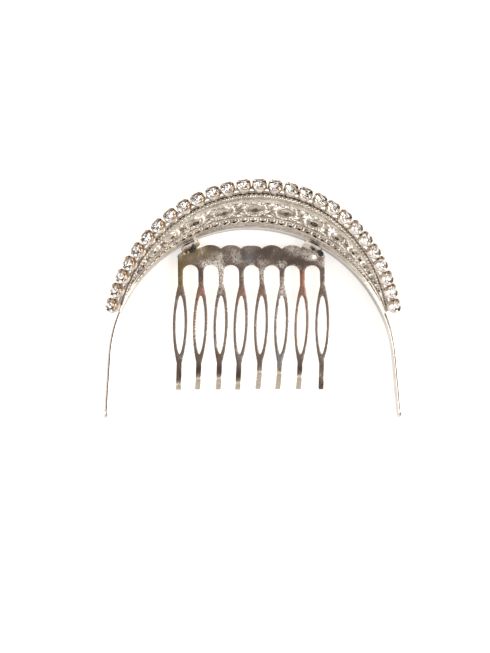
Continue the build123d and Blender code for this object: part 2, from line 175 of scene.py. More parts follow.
def plane(origin, x_dir, z_dir):
    """Matrix of a plane with these axes."""
    z_dir = z_dir.normalized()
    x_dir = (x_dir - z_dir * x_dir.dot(z_dir)).normalized()
    y_dir = z_dir.cross(x_dir)
    return Matrix.Translation(origin) @ Matrix((x_dir, y_dir, z_dir)).transposed().to_4x4()


def wall_plane(pair, angle, depth=WALL / 2):
    """Plane in the flared wall: x along the row, z outwards."""
    normal = outward(angle) * flare_cos - UP * flare_sin
    return plane(on_wall(pair, angle, depth), row_direction(pair, angle), normal)


def crest_plane(angle):
    """Plane of a crest cup's base, z being the cup's axis."""
    end = cos(radians(CREST_HALF_ANGLE))
    share = (cos(radians(angle)) - end) / (1 - end)
    tilt = radians(CREST_TILT_END + (CREST_TILT_MIDDLE - CREST_TILT_END) * share)
    direction = row_direction(CREST_RAIL_TOP, angle)
    axis = outward(angle) * cos(tilt) + UP * sin(tilt)
    axis = (axis - direction * axis.dot(direction)).normalized()
    return plane(on_wall(CREST_RAIL_TOP, angle) + axis * 0.02, direction, axis)


def crest_angles():
    """Angles of the crest's cups from the middle outwards, their rims evenly spaced."""
    steps = 600
    half = CREST_COUNT // 2
    grid = [CREST_HALF_ANGLE * i / steps for i in range(steps + 1)]
    rims = [crest_plane(a) @ Vector((0, 0, CUP_DEPTH)) for a in grid]
    run = [0.0]
    for a, b in zip(rims, rims[1:]):
        run.append(run[-1] + (b - a).length)

    def nearest(length):
        return min(range(steps + 1), key=lambda i: abs(run[i] - length))

    return [grid[nearest(run[-1] * k / half)] for k in range(half + 1)]


# ---- mesh building ----------------------------------------------------------------------

class Shape:
    """Points, faces and a material index for each face, gathered before they become a mesh."""

    def __init__(self):
        self.points = []
        self.faces = []
        self.index = []

    def add(self, points, faces, matrix=None, index=0):
        start = len(self.points)
        if matrix is not None:
            points = [matrix @ Vector(p) for p in points]
        self.points.extend(Vector(p) for p in points)
        self.faces.extend([start + i for i in face] for face in faces)
        self.index.extend([index] * len(faces))
        return self


def loft(rings, closed=False, caps=True):
    """Points and quads through rings of equal length; closed joins the last ring to the first."""
    size = len(rings[0])
    points = [p for ring in rings for p in ring]
    faces = []
    last = len(rings) if closed else len(rings) - 1
    for i in range(last):
        a, b = i * size, (i + 1) % len(rings) * size
        for j in range(size):
            k = (j + 1) % size
            faces.append((a + j, a + k, b + k, b + j))
    if caps and not closed:
        faces.append(tuple(reversed(range(size))))
        faces.append(tuple(range(len(points) - size, len(points))))
    return points, faces


def lathe(profile, segments):
    """Closed turning of a closed (radius, z) profile about z."""
    rings = []
    for i in range(segments):
        a = 2 * pi * i / segments
        rings.append([(r * cos(a), r * sin(a), z) for r, z in profile])
    return loft(rings, closed=True)


def rounded(corners, radius, steps=3):
    """Closed 2-D outline with each corner rounded off."""
    outline = []
    for i, corner in enumerate(corners):
        p = Vector(corner)
        before = Vector(corners[i - 1]) - p
        after = Vector(corners[(i + 1) % len(corners)]) - p
        size = min(radius, before.length * 0.45, after.length * 0.45)
        start = p + before.normalized() * size
        end = p + after.normalized() * size
        for k in range(steps + 1):
            t = k / steps
            outline.append(tuple(start * (1 - t) ** 2 + p * 2 * t * (1 - t) + end * t**2))
    return outline


def flipped(points):
    """The same points on the other side of the middle plane."""
    return [Vector((-p.x, p.y, p.z)) for p in points]


def turned(radius, z, sides, offset=0.0):
    """Ring of points around the z axis."""
    turns = [2 * pi * (i + offset) / sides for i in range(sides)]
    return [(radius * cos(a), radius * sin(a), z) for a in turns]


def ball(radius, levels, sides, pole):
    """Ball whose poles are small flat faces, pole being their share of the radius."""
    turns = [pi * i / levels for i in range(levels + 1)]
    return loft([turned(radius * max(pole, sin(t)), -radius * cos(t), sides) for t in turns])


def sweep(path, section, closed=False, scale=None):
    """Section outline carried along a path of points, with the least twist."""
    count = len(path)
    path = [Vector(p) for p in path]
    tangents = []
    for i in range(count):
        a = path[i - 1] if (closed or i) else path[0]
        b = path[(i + 1) % count] if (closed or i < count - 1) else path[-1]
        tangents.append((b - a).normalized())
    side = tangents[0].orthogonal().normalized()
    rings = []
    for i, (p, t) in enumerate(zip(path, tangents)):
        side = (side - t * side.dot(t)).normalized()
        other = t.cross(side)
        s = scale[i] if scale else 1
        rings.append([p + (side * x + other * y) * s for x, y in section])
    return loft(rings, closed=closed)


def circle(radius, sides):
    return [(radius * cos(2 * pi * i / sides), radius * sin(2 * pi * i / sides)) for i in range(sides)]


def new_object(name, data):
    """An object of the scene that holds a mesh, a light or a camera."""
    made = bpy.data.objects.new(name, data)
    bpy.context.scene.collection.objects.link(made)
    return made


def make_piece(name, shape, materials, nodes, sharp=35.0, flat=False, painted=None, merge=0.0005):
    """A finished object that rides on the frame and stands for the given CAD nodes.
    painted holds attributes by name, each a number or a colour for every point of the shape."""
    mesh = bpy.data.meshes.new(name)
    mesh.from_pydata([placed(p) for p in shape.points], [], shape.faces)
    for attribute, values in (painted or {}).items():
        if isinstance(values[0], tuple):
            layer = mesh.color_attributes.new(attribute, "FLOAT_COLOR", "POINT")
            layer.data.foreach_set("color", [channel for color in values for channel in color])
        else:
            mesh.attributes.new(attribute, "FLOAT", "POINT").data.foreach_set("value", values)
    for material in materials:
        mesh.materials.append(material)
    mesh.polygons.foreach_set("material_index", shape.index)
    builder = bmesh.new()
    builder.from_mesh(mesh)
    bmesh.ops.remove_doubles(builder, verts=builder.verts, dist=merge * MM)
    loose = [v for v in builder.verts if not v.link_faces]
    bmesh.ops.delete(builder, geom=loose, context="VERTS")
    bmesh.ops.recalc_face_normals(builder, faces=builder.faces)
    builder.to_mesh(mesh)
    builder.free()
    if flat:
        mesh.shade_flat()
    else:
        mesh.shade_smooth()
        mesh.set_sharp_from_angle(angle=radians(sharp))
    piece = new_object(name, mesh)
    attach(piece, "root")
    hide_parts(*nodes)


# ---- materials --------------------------------------------------------------------------

def grey(level):
    return (level, level, level)


def color_ramp(tree, value, stops):
    """Colour ramp node fed by a value. Each stop is a position and a colour."""
    node = tree.nodes.new("ShaderNodeValToRGB")
    elements = node.color_ramp.elements
    while len(elements) < len(stops):
        elements.new(0.5)
    for element, (position, color) in zip(elements, stops):
        element.position = position
        element.color = (*color, 1)
    tree.links.new(value, node.inputs["Fac"])
    return node.outputs["Color"]


class Nodes:
    """Short way to build a material's node tree."""

    def __init__(self, name):
        self.material = bpy.data.materials.new(name)
        self.material.use_nodes = True
        self.tree = self.material.node_tree
        self.shader = self.tree.nodes["Principled BSDF"]
        self.coordinates = self.add("ShaderNodeTexCoord").outputs["Object"]

    def add(self, kind, **values):
        node = self.tree.nodes.new(kind)
        for key, value in values.items():
            setattr(node, key, value)
        return node

    def link(self, a, b):
        self.tree.links.new(a, b)

    def noise(self, scale, detail=4.0, roughness=0.55, distortion=0.0):
        """Noise with features of about 1 / scale metres."""
        node = self.add("ShaderNodeTexNoise")
        node.inputs["Scale"].default_value = scale
        node.inputs["Detail"].default_value = detail
        node.inputs["Roughness"].default_value = roughness
        node.inputs["Distortion"].default_value = distortion
        self.link(self.coordinates, node.inputs["Vector"])
        return node.outputs["Fac"]

    def ramp(self, value, *stops):
        return color_ramp(self.tree, value, stops)

    def attribute(self, name):
        """A number or a colour painted on the mesh."""
        return self.add("ShaderNodeAttribute", attribute_name=name)

    def spread(self, value, low, high, start=0.3, end=0.7):
        node = self.add("ShaderNodeMapRange")
        node.inputs["From Min"].default_value = start
        node.inputs["From Max"].default_value = end
        node.inputs["To Min"].default_value = low
        node.inputs["To Max"].default_value = high
        self.link(value, node.inputs["Value"])
        return node.outputs["Result"]

    def mix(self, share, a, b, blend="MIX"):
        node = self.add("ShaderNodeMix", data_type="RGBA", blend_type=blend)
        for socket, value in (("Factor", share), ("A", a), ("B", b)):
            sockets = [s for s in node.inputs if s.name == socket and s.enabled]
            if hasattr(value, "links"):
                self.link(value, sockets[0])
            else:
                sockets[0].default_value = value
        return [s for s in node.outputs if s.enabled][0]

    def bump(self, height, strength, distance):
        node = self.add("ShaderNodeBump")
        node.inputs["Strength"].default_value = strength
        node.inputs["Distance"].default_value = distance
        self.link(height, node.inputs["Height"])
        self.link(node.outputs["Normal"], self.shader.inputs["Normal"])

    def set(self, **values):
        for key, value in values.items():
            socket = self.shader.inputs[key.replace("_", " ")]
            if hasattr(value, "links"):
                self.link(value, socket)
            else:
                socket.default_value = value


def plated_metal(name, dark, light, rough, wave, bump_strength, shelter=0.0, painted=None):
    """Plated metal with slow colour drift, stained patches, fine pitting and polishing marks. Painted shade
    darkens it within shelter millimetres of other surfaces and where the painted attribute says."""
    n = Nodes(name)
    patches = n.noise(1500, 3, 0.5, 0.6)
    base = n.ramp(n.noise(350, 5, 0.6), (0.32, dark), (0.62, light))
    color = n.mix(n.spread(patches, 0.0, 0.5, 0.52, 0.72), base, (*[c * 0.6 for c in dark], 1))
    # Painted shade: darker within shelter millimetres of other surfaces, where shade falls.
    if shelter:
        occlusion = n.add("ShaderNodeAmbientOcclusion", samples=6)
        occlusion.inputs["Distance"].default_value = shelter * MM
        painted_shade = n.spread(occlusion.outputs["AO"], 0.9, 0.0, 0.2, 0.7)
        color = n.mix(painted_shade, color, (0.13, 0.105, 0.085, 1))
    if painted:
        color = n.mix(n.attribute(painted).outputs["Fac"], color, (0.07, 0.05, 0.04, 1))
    n.set(Base_Color=color, Metallic=1.0, Roughness=n.spread(n.noise(900, 6, 0.7), *rough))
    n.bump(n.noise(wave, 6, 0.6), bump_strength, 0.00006)
    return n.material


def cup_metal():
    """Plated cups, browned as painted shade on the side of each rim where the dark room shows in its
    reflection.
    """
    n = Nodes("cup_plating")
    base = n.ramp(n.noise(700, 5, 0.6), (0.35, (0.46, 0.395, 0.335)), (0.62, (0.75, 0.71, 0.67)))
    # Painted shade: brown where the mesh paints the dark room's reflection on the rims.
    brown = n.ramp(n.noise(1400, 4, 0.6), (0.35, (0.26, 0.18, 0.115)), (0.65, (0.44, 0.335, 0.24)))
    n.set(Base_Color=n.mix(n.attribute("painted_shade").outputs["Fac"], base, brown), Metallic=1.0)
    n.set(Roughness=n.spread(n.noise(900, 6, 0.7), 0.12, 0.3))
    n.bump(n.noise(2000, 6, 0.6), 0.35, 0.00005)
    return n.material


def comb_metal():
    """Cloudy plating of the stamped comb, with heat tints, painted highlights, painted dark reflections and
    frosted places painted on its mesh.
    """
    n = Nodes("comb_plating")
    clouds = n.noise(330, 6, 0.62, 0.5)
    specks = n.noise(3000, 6, 0.75)
    tint = n.attribute("tint_and_painted_light")
    base = n.ramp(clouds, (0.35, (0.58, 0.51, 0.46)), (0.62, (0.76, 0.7, 0.64)))
    # The painted marks carry painted highlights and dark reflections into the colour along with the heat
    # tints.
    toned = n.mix(tint.outputs["Alpha"], base, tint.outputs["Color"])
    cloud_bloom = n.ramp(clouds, (0.52, grey(0)), (0.7, grey(0.55)))
    wide_bloom = n.mix(1.0, cloud_bloom, n.attribute("frost_and_highlight").outputs["Color"], "ADD")
    bloom = n.mix(1.0, wide_bloom, n.ramp(specks, (0.4, grey(0)), (0.58, grey(1))), "MULTIPLY")
    tint_haze = n.ramp(tint.outputs["Alpha"], (0.2, grey(0)), (1.0, grey(0.22)))
    # Painted highlight: frosted places whiten the colour as well as roughen it.
    n.set(Base_Color=n.mix(bloom, toned, (0.92, 0.88, 0.83, 1)), Metallic=1.0)
    n.set(Roughness=n.spread(n.mix(1.0, bloom, tint_haze, "LIGHTEN"), 0.17, 0.6, 0.0, 1.0))
    n.bump(n.noise(1500, 7, 0.65), 0.4, 0.00008)
    return n.material


def solder_metal():
    """Dull solder with burnt flux in its hollows."""
    n = Nodes("burnt_solder")
    burns = n.noise(900, 5, 0.65, 0.5)
    burnt = (0.46, (0.012, 0.009, 0.008))
    scorched = (0.6, (0.05, 0.035, 0.03))
    bare = (0.68, (0.5, 0.45, 0.4))
    n.set(Base_Color=n.ramp(burns, burnt, scorched, bare), Metallic=n.spread(burns, 0.0, 1.0, 0.58, 0.66))
    n.set(Roughness=n.spread(burns, 0.5, 0.3, 0.4, 0.65))
    n.bump(n.noise(3200, 6, 0.6), 0.6, 0.0001)
    return n.material


def simple_finish(name, color, rough, grain, metallic=0.0):
    """Material from three noises: color is the noise's settings and the ramp's stops, rough its settings
    and the roughness range, grain its settings and the bump's strength and distance."""
    n = Nodes(name)
    n.set(Base_Color=n.ramp(n.noise(*color[0]), *color[1:]), Metallic=metallic)
    n.set(Roughness=n.spread(n.noise(*rough[0]), *rough[1:]))
    n.bump(n.noise(*grain[0]), *grain[1:])
    return n.material


def crystal_glass():
    """Cut glass: clear, with rubbed facet edges and a trace of dust."""
    n = Nodes("crystal_glass")
    haze = n.noise(2400, 5, 0.6)
    n.set(Base_Color=n.ramp(haze, (0.3, (0.95, 0.95, 0.97)), (0.7, grey(1))))
    n.set(IOR=1.6, Transmission_Weight=1.0)
    n.set(Roughness=n.spread(haze, 0.0, 0.04, 0.45, 0.8))
    n.bump(n.noise(5000, 3, 0.5), 0.05, 0.00002)
    return n.material


# The band's painted attribute is a painted contact shadow along its lower front edge.
band_plating = plated_metal("band_plating", (0.52, 0.475, 0.43), (0.66, 0.62, 0.575), (0.12, 0.26), 900, 0.3,
                            painted="painted_shade")
# Rails and filigree get painted shade in their hollows, from the shelter distance.
rail_plating = plated_metal("rail_plating", (0.46, 0.41, 0.35), (0.74, 0.69, 0.62), (0.12, 0.3), 1500, 0.5,
                            shelter=0.6)
filigree_plating = plated_metal("filigree_plating", (0.34, 0.295, 0.245), (0.68, 0.63, 0.565), (0.08, 0.22),
                                2200, 0.5, shelter=0.7)
cup_plating = cup_metal()
comb_plating = comb_metal()
solder_finish = solder_metal()
# Charred flux: nearly black, crusty, glossy in places.
flux_crust = simple_finish(
    "burnt_flux",
    color=[(1500, 5, 0.65), (0.4, (0.008, 0.006, 0.005)), (0.7, (0.06, 0.04, 0.03))],
    rough=[(1800, 4, 0.6), 0.35, 0.7],
    grain=[(3000, 6, 0.65), 0.6, 0.0001])
# Silvered back of a rhinestone.
foil = simple_finish(
    "stone_foil",
    color=[(1800, 4, 0.6), (0.3, (0.88, 0.87, 0.86)), (0.7, (0.97, 0.965, 0.96))],
    rough=[(2600, 4, 0.6), 0.03, 0.12],
    grain=[(4200, 4, 0.6), 0.15, 0.00003],
    metallic=1.0)
# Bronze-brown lacquer over the back of the foil, thin and dull.
lacquer = simple_finish(
    "foil_lacquer",
    color=[(1200, 5, 0.65), (0.35, (0.03, 0.018, 0.012)), (0.7, (0.12, 0.08, 0.055))],
    rough=[(2600, 4, 0.6), 0.2, 0.45],
    grain=[(3000, 4, 0.6), 0.3, 0.00004])
crystal = crystal_glass()


# ---- headband ---------------------------------------------------------------------------

BAND_EDGE_ROUND = 0.39
BAND_WOBBLE = 0.03


def band_path(step):
    """Centre line of the +X half with its outward directions, from the apex to the tip."""
    path = []
    count = ceil(FRONT_HALF_ANGLE / step)
    for i in range(count + 1):
        side = outward(FRONT_HALF_ANGLE * i / count)
        path.append((side * BAND_RADIUS, side))
    arm_centre = outward(FRONT_HALF_ANGLE) * (BAND_RADIUS - ARM_RADIUS)
    arm_angle = 90 - ARM_SPLAY
    count = ceil((arm_angle - FRONT_HALF_ANGLE) / step)
    for i in range(1, count + 1):
        side = outward(FRONT_HALF_ANGLE + (arm_angle - FRONT_HALF_ANGLE) * i / count)
        path.append((arm_centre + side * ARM_RADIUS, side))
    start, side = path[-1]
    run = (ARM_REACH - start.y) / cos(radians(ARM_SPLAY))
    lengths = [run * t for t in (0.15, 0.3, 0.45, 0.6, 0.75)]
    lengths += [run - ARM_END_ROUND * (1 - sin(radians(a))) for a in range(0, 91, 9)]
    path += [(start + along(arm_angle) * length, side) for length in lengths]
    return path


def headband_strip():
    """Flat wire bent to a U, its corners softened by the rolling mill, its ends rounded and a painted
    contact shadow along the lower edge of its front."""
    path = band_path(1.0)
    tip = path[-1][0]
    half = BAND_THICKNESS / 2
    rings = []
    for point, side in path:
        left = (tip - point).length
        trim = 0.0
        if left < ARM_END_ROUND:
            trim = ARM_END_ROUND - sqrt(max(0.0, ARM_END_ROUND**2 - (ARM_END_ROUND - left) ** 2))
        wobble = BAND_WOBBLE * noise.noise(Vector((point.x * 0.15, point.y * 0.15, 3.0)))
        low = trim * 0.93
        high = BAND_HEIGHT - low
        section = rounded([(-half, low), (half, low), (half, high), (-half, high)], BAND_EDGE_ROUND, 5)
        rings.append([point + side * (x + wobble) + UP * z for x, z in section])
    shape = Shape().add(*loft([flipped(ring) for ring in rings[:0:-1]] + rings))
    # Painted shade: the front darkens towards its lower edge, standing for the contact shadow where the band
    # meets the floor.
    contact_shade = []
    for p in shape.points:
        low_share = max(0.0, min(1.0, 1.5 - 1.4 * p.z))
        front_share = max(0.0, min(1.0, (-10.0 - p.y) / 8))
        contact_shade.append(low_share * front_share)
    make_piece("headband_strip", shape, [band_plating], ["headband"],
               painted={"painted_shade": contact_shade})


headband_strip()


# ---- comb -------------------------------------------------------------------------------

def tooth_x(number):
    """Middle of a tooth, numbered from the -X side, or of a place between two teeth."""
    return (number - (TOOTH_COUNT - 1) / 2) * TOOTH_PITCH


tooth_centres = [tooth_x(i) for i in range(TOOTH_COUNT)]
# How far each tooth's end leans towards +X, from the -X side to the +X side.
tooth_lean = [0.91, 1.41, 1.44, 1.27, 1.39, 1.08, 1.14, 0.81]
# Length of each tooth's tip beyond the start of its crease, from the -X side to the +X side.
tip_lengths = [0.3, 4.3, 5.3, 5.5, 2.7, 3.8, 3.9, 2.3]
TIP_ANGLE = 23.5
CREASE_RADIUS = 4.0
EDGE_ROUND = 0.045
FOLD_RADIUS = 0.5
FOLD_ANGLE = 55.0
TIP_CORNER = 0.25
SPINE_HALF = 13.0
EAR_ROOT_FRONT = 34.9
EAR_ROOT_SIDE = 35.9
# Points inside the blank: the square that they cover, their spacing, rows at the tips, squared gap to edges.
SEED_AREA = 42
SEED_STEP = 0.62
SEED_ROW = 0.18
SEED_GAP = 0.14
plate_middle = COMB_UNDERSIDE + COMB_THICKNESS / 2
fold_turn = radians(FOLD_ANGLE)
ear_slope = (EAR_TOP - 0.2 - plate_middle - FOLD_RADIUS * (1 - cos(fold_turn))) / sin(fold_turn)
ear_run = FOLD_RADIUS * sin(fold_turn) + ear_slope * cos(fold_turn)
fold_start = BAND_RADIUS - BAND_THICKNESS / 2 - EAR_GAP - COMB_THICKNESS / 2 - ear_run
ear_flat_reach = fold_start + FOLD_RADIUS * fold_turn + ear_slope
tip_flat_end = BEND_START + (BEND_RADIUS - COMB_THICKNESS / 2) * radians(BEND_ANGLE)


def arc_through(start, middle, end, step=0.4):
    """Points on the arc through three 2-D points, without its last point."""
    a, b, c = Vector(start), Vector(middle), Vector(end)
    chord = c - a
    sagitta_vector = b - (a + c) / 2
    sagitta = sagitta_vector.length
    radius = (chord.length_squared / 4 + sagitta**2) / (2 * sagitta)
    centre = b - sagitta_vector.normalized() * radius
    start_angle = atan2(*(a - centre).yx)
    sweep_angle = atan2(*(c - centre).yx) - start_angle
    if abs(sweep_angle) > pi:
        sweep_angle -= 2 * pi * (1 if sweep_angle > 0 else -1)
    count = max(2, ceil(abs(sweep_angle) * radius / step))
    angles = [start_angle + sweep_angle * i / count for i in range(count)]
    return [(centre.x + radius * cos(t), centre.y + radius * sin(t)) for t in angles]


def run_to(start, end, step=0.6):
    """Evenly spaced points from start towards end, without the last point."""
    a, b = Vector(start), Vector(end)
    count = max(1, round((b - a).length / step))
    return [tuple(a.lerp(b, i / count)) for i in range(count)]


def ear_point(reach, shift):
    """Flat point at a reach from the front's axis and a shift along the +X ear, as (x, depth)."""
    p = outward(EAR_ANGLE) * reach + along(EAR_ANGLE) * shift
    return p.x, p.y + BAND_RADIUS


def tooth_outline(x):
    """One tooth, down its +X side and up the other, as (x, depth)."""
    neck = SLOT_TOP + TOOTH_PITCH / 2 - TOOTH_HALF
    middle = (LOOP_START + LOOP_END) / 2
    corner = TIP_CORNER
    chamfer = 0.07
    tip = tip_flat_end
    low, high = x - TOOTH_HALF, x + TOOTH_HALF
    right = [(high, neck), (high, LOOP_START), (x + LOOP_HALF, middle), (high, LOOP_END)]
    left = [(2 * x - px, py) for px, py in right]
    out = run_to(right[0], right[1]) + arc_through(*right[1:])
    out += run_to(right[3], (high, tip - corner), 0.2)
    out += arc_through((high, tip - corner), (high - chamfer, tip - chamfer), (high - corner, tip), 0.12)
    out += run_to((high - corner, tip), (low + corner, tip), 0.3)
    out += arc_through((low + corner, tip), (low + chamfer, tip - chamfer), (low, tip - corner), 0.12)
    out += run_to((low, tip - corner), left[3], 0.2)
    out += arc_through(*reversed(left[1:])) + run_to(left[1], left[0])
    return out


def ear_outline():
    """Edge of the flat +X ear from the spine round to the plate's side, as (x, depth)."""
    top = ear_flat_reach
    near = EAR_ROUND * (1 - sqrt(0.5))
    flat = EAR_HALF - EAR_ROUND
    edge = run_to(ear_point(EAR_ROOT_FRONT, -EAR_HALF), ear_point(top - EAR_ROUND, -EAR_HALF), 0.3)
    edge += arc_through(ear_point(top - EAR_ROUND, -EAR_HALF), ear_point(top - near, -EAR_HALF + near),
                        ear_point(top, -flat), 0.25)
    edge += run_to(ear_point(top, -flat), ear_point(top, flat), 0.4)
    edge += arc_through(ear_point(top, flat), ear_point(top - near, EAR_HALF - near),
                        ear_point(top - EAR_ROUND, EAR_HALF), 0.25)
    return edge + run_to(ear_point(top - EAR_ROUND, EAR_HALF), ear_point(EAR_ROOT_SIDE, EAR_HALF), 0.3)


def comb_outline():
    """Outer edge of the flat blank, clockwise seen from above, as (x, depth)."""
    half_pitch = TOOTH_PITCH / 2
    side = tooth_centres[-1] + TOOTH_HALF
    neck = SLOT_TOP + half_pitch - TOOTH_HALF
    crown = SPINE_FRONT - SCALLOP_RISE
    front = arc_through((0, crown), (half_pitch * 0.52, SPINE_FRONT - SCALLOP_RISE * 0.74),
                        (half_pitch, SPINE_FRONT), 0.35)
    for x in (TOOTH_PITCH, 2 * TOOTH_PITCH):
        front += arc_through((x - half_pitch, SPINE_FRONT), (x, crown), (x + half_pitch, SPINE_FRONT), 0.35)
    front = [p for p in front if p[0] < SPINE_HALF] + ear_outline()
    corner = ear_point(EAR_ROOT_SIDE, EAR_HALF)
    shoulder = (side, corner[1] + 1.5)
    front += arc_through(corner, (side - 0.28, corner[1] + 0.42), shoulder, 0.3)
    front += run_to(shoulder, (side, neck))
    teeth = []
    radius = half_pitch - TOOTH_HALF
    for i in reversed(range(TOOTH_COUNT)):
        teeth += tooth_outline(tooth_centres[i])
        if i:
            x = (tooth_centres[i] + tooth_centres[i - 1]) / 2
            part = radius * sqrt(0.5)
            teeth += arc_through((x + radius, neck), (x + part, neck - part), (x, neck - radius))
            teeth += arc_through((x, neck - radius), (x - part, neck - part), (x - radius, neck))
    return front + teeth + [(-x, y) for x, y in reversed(front[1:])]


def loop_opening(x):
    """Long opening in a tooth's loop, narrow at its ends, as (x, depth)."""
    middle = (OPENING_START + OPENING_END) / 2
    reach = (OPENING_END - OPENING_START) / 2
    count = 96
    points = []
    for i in range(count):
        a = 2 * pi * i / count
        width = LOOP_OPENING_HALF * abs(sin(a)) ** 1.25
        points.append((x + (width if sin(a) > 0 else -width), middle - reach * cos(a)))
    return points


def inset(outline, distance, inside):
    """Outline moved by a distance towards its inside, or away from it where inside is False."""
    area = sum(a[0] * b[1] - b[0] * a[1] for a, b in zip(outline, outline[1:] + outline[:1]))
    sign = (1 if area > 0 else -1) * (1 if inside else -1)
    moved = []
    for i, p in enumerate(outline):
        a, b = Vector(outline[i - 1]), Vector(outline[(i + 1) % len(outline)])
        t = (b - a).normalized()
        moved.append((p[0] - t.y * sign * distance, p[1] + t.x * sign * distance))
    return moved


def tooth_of(x):
    return min(range(TOOTH_COUNT), key=lambda i: abs(tooth_centres[i] - x))


def bend(run, lift, radius, turn_limit):
    """Distance along and height gained by a strip that bends up by turn_limit and then runs straight."""
    turn = min(run / radius, turn_limit)
    rest = run - turn * radius
    forward = (radius - lift) * sin(turn) + rest * cos(turn)
    height = radius - (radius - lift) * cos(turn) + rest * sin(turn)
    return forward, height


# Height of the plate's waves and how many there are to a millimetre.
WAVE_HEIGHT = 0.035
WAVE_RATE = 0.3
# Dents of the plate near its soldered corners: middle (x, depth), radius, height.
dents = [
    (-15.3, 7.2, 1.35, 0.42),
    (-16.4, 8.0, 0.8, 0.14),
    (-18.0, 6.8, 1.0, 0.3),
    (20.2, 7.6, 1.4, 0.16),
    (15.4, 9.0, 1.2, -0.12),
    (11.0, 5.6, 2.4, -0.3),
    (5.6, 5.4, 2.2, -0.2),
    (0.0, 5.4, 2.2, -0.12),
]


def fold(x, depth, lift):
    """Where a point of the flat blank ends up: ears folded up, tips creased down, teeth a little uneven."""
    lift += WAVE_HEIGHT * noise.noise(Vector((x * WAVE_RATE, depth * WAVE_RATE, 0)))
    for dx, dy, size, height in dents:
        lift += height * exp(-((x - dx) ** 2 + (depth - dy) ** 2) / size**2)
    y = depth - BAND_RADIUS
    side = 1 if x > 0 else -1
    mirrored = Vector((abs(x), y, 0))
    reach = mirrored.dot(outward(EAR_ANGLE))
    shift = mirrored.dot(along(EAR_ANGLE))
    if reach > fold_start and abs(shift) < EAR_HALF + 0.3:
        forward, height = bend(reach - fold_start, lift, FOLD_RADIUS, fold_turn)
        p = outward(EAR_ANGLE) * (fold_start + forward) + along(EAR_ANGLE) * shift
        return Vector((p.x * side, p.y, plate_middle + height))
    i = tooth_of(x)
    if depth > LOOP_START:
        x += tooth_lean[i] * ((depth - LOOP_START) / (tip_flat_end - LOOP_START)) ** 1.3
    crease = tip_flat_end - tip_lengths[i]
    if depth <= crease:
        return Vector((x, y, plate_middle + lift))
    forward, height = bend(depth - crease, -lift, CREASE_RADIUS, radians(TIP_ANGLE))
    return Vector((x, crease - BAND_RADIUS + forward, plate_middle - height))


# Marks painted on the comb: heat tints left by soldering and plating, burnt flux and bare steel, and
# painted light: pale painted highlights, smoky painted dark reflections of the ceiling and beige painted
# reflections of the pale room on the tips. Each: tooth number, offset from its middle, depth, size across
# and along, colour, strength.
COPPER = (0.92, 0.44, 0.29)
OLIVE = (0.56, 0.45, 0.2)
# Painted highlight.
PAINTED_HIGHLIGHT = (0.78, 0.71, 0.67)
# Painted dark reflection of the ceiling.
DARK_REFLECTION = (0.17, 0.13, 0.115)
FLUX = (0.012, 0.009, 0.008)
STEEL = (0.6, 0.64, 0.7)
# Painted reflection of the pale room, for the tips.
TIP_REFLECTION = (0.84, 0.77, 0.68)
tint_and_light_marks = [
    (7, 0.0, 12.5, 1.8, 5.5, OLIVE, 0.9),
    (7, -3.5, 7.0, 5.5, 3.2, OLIVE, 0.75),
    (6, 0.0, 17.5, 1.2, 2.6, COPPER, 0.75),
    (4, 0.0, 17.5, 1.2, 2.2, COPPER, 0.55),
    (3, 0.0, 17.0, 1.2, 2.2, COPPER, 0.4),
    (1, 0.0, 15.0, 1.4, 3.6, COPPER, 0.9),
    (6, 1.5, 24.0, 1.6, 4.5, COPPER, 0.5),
    (1, 0.5, 24.0, 2.6, 6.5, COPPER, 0.3),
    (3.5, 0.0, 25.5, 40.0, 9.0, PAINTED_HIGHLIGHT, 0.75),
    (2, 0.0, 17.0, 1.5, 3.4, PAINTED_HIGHLIGHT, 1.6),
    (4, 2.6, 5.6, 2.0, 1.3, PAINTED_HIGHLIGHT, 1.2),
    (4, -2.6, 5.5, 2.0, 1.2, PAINTED_HIGHLIGHT, 1.2),
    (1, 2.7, 5.6, 2.0, 1.4, PAINTED_HIGHLIGHT, 1.4),
    (4, -2.1, 8.0, 1.5, 1.8, STEEL, 0.8),
    (6, 1.0, 9.0, 3.0, 2.0, PAINTED_HIGHLIGHT, 0.5),
    (1, 2.0, 9.5, 5.0, 2.4, DARK_REFLECTION, 0.7),
    (3, 0.0, 7.0, 6.0, 2.6, DARK_REFLECTION, 0.45),
    (6, 0.0, 12.8, 1.4, 3.0, DARK_REFLECTION, 0.5),
    (7, -1.8, 3.0, 3.2, 2.4, PAINTED_HIGHLIGHT, 3.0),
    (0, 1.8, 3.0, 3.2, 2.4, PAINTED_HIGHLIGHT, 3.0),
    (7, 0.3, 6.6, 1.2, 2.2, PAINTED_HIGHLIGHT, 1.6),
    (7, -3.3, 5.2, 1.0, 0.9, FLUX, 12.0),
    (7, -1.6, 6.0, 1.4, 0.5, FLUX, 8.0),
    (0, 2.4, 5.0, 0.8, 0.6, FLUX, 12.0),
    (0, 0.3, 6.1, 0.9, 0.8, FLUX, 12.0),
]
# Painted dark reflection: the stems darken just before their creases, where they mirror the dark ceiling.
for i in (0, 1, 4, 5, 6, 7):
    tint_and_light_marks.append((i, 0.0, tip_flat_end - tip_lengths[i] - 1.3, 1.3, 1.7, DARK_REFLECTION, 0.9))
tint_and_light_marks.append((2, 0.0, 35.2, 1.5, 2.2, STEEL, 1.0))
tint_and_light_marks.append((4, 0.0, 34.6, 1.3, 1.6, STEEL, 0.6))
# Painted reflection: the tips beyond the creases are paler, where they mirror the pale room.
for i in range(1, TOOTH_COUNT):
    length = tip_lengths[i]
    tint_and_light_marks.append((i, 0.0, tip_flat_end - 0.35 * length, 1.5, 0.55 * length + 0.2, TIP_REFLECTION, 2.0))
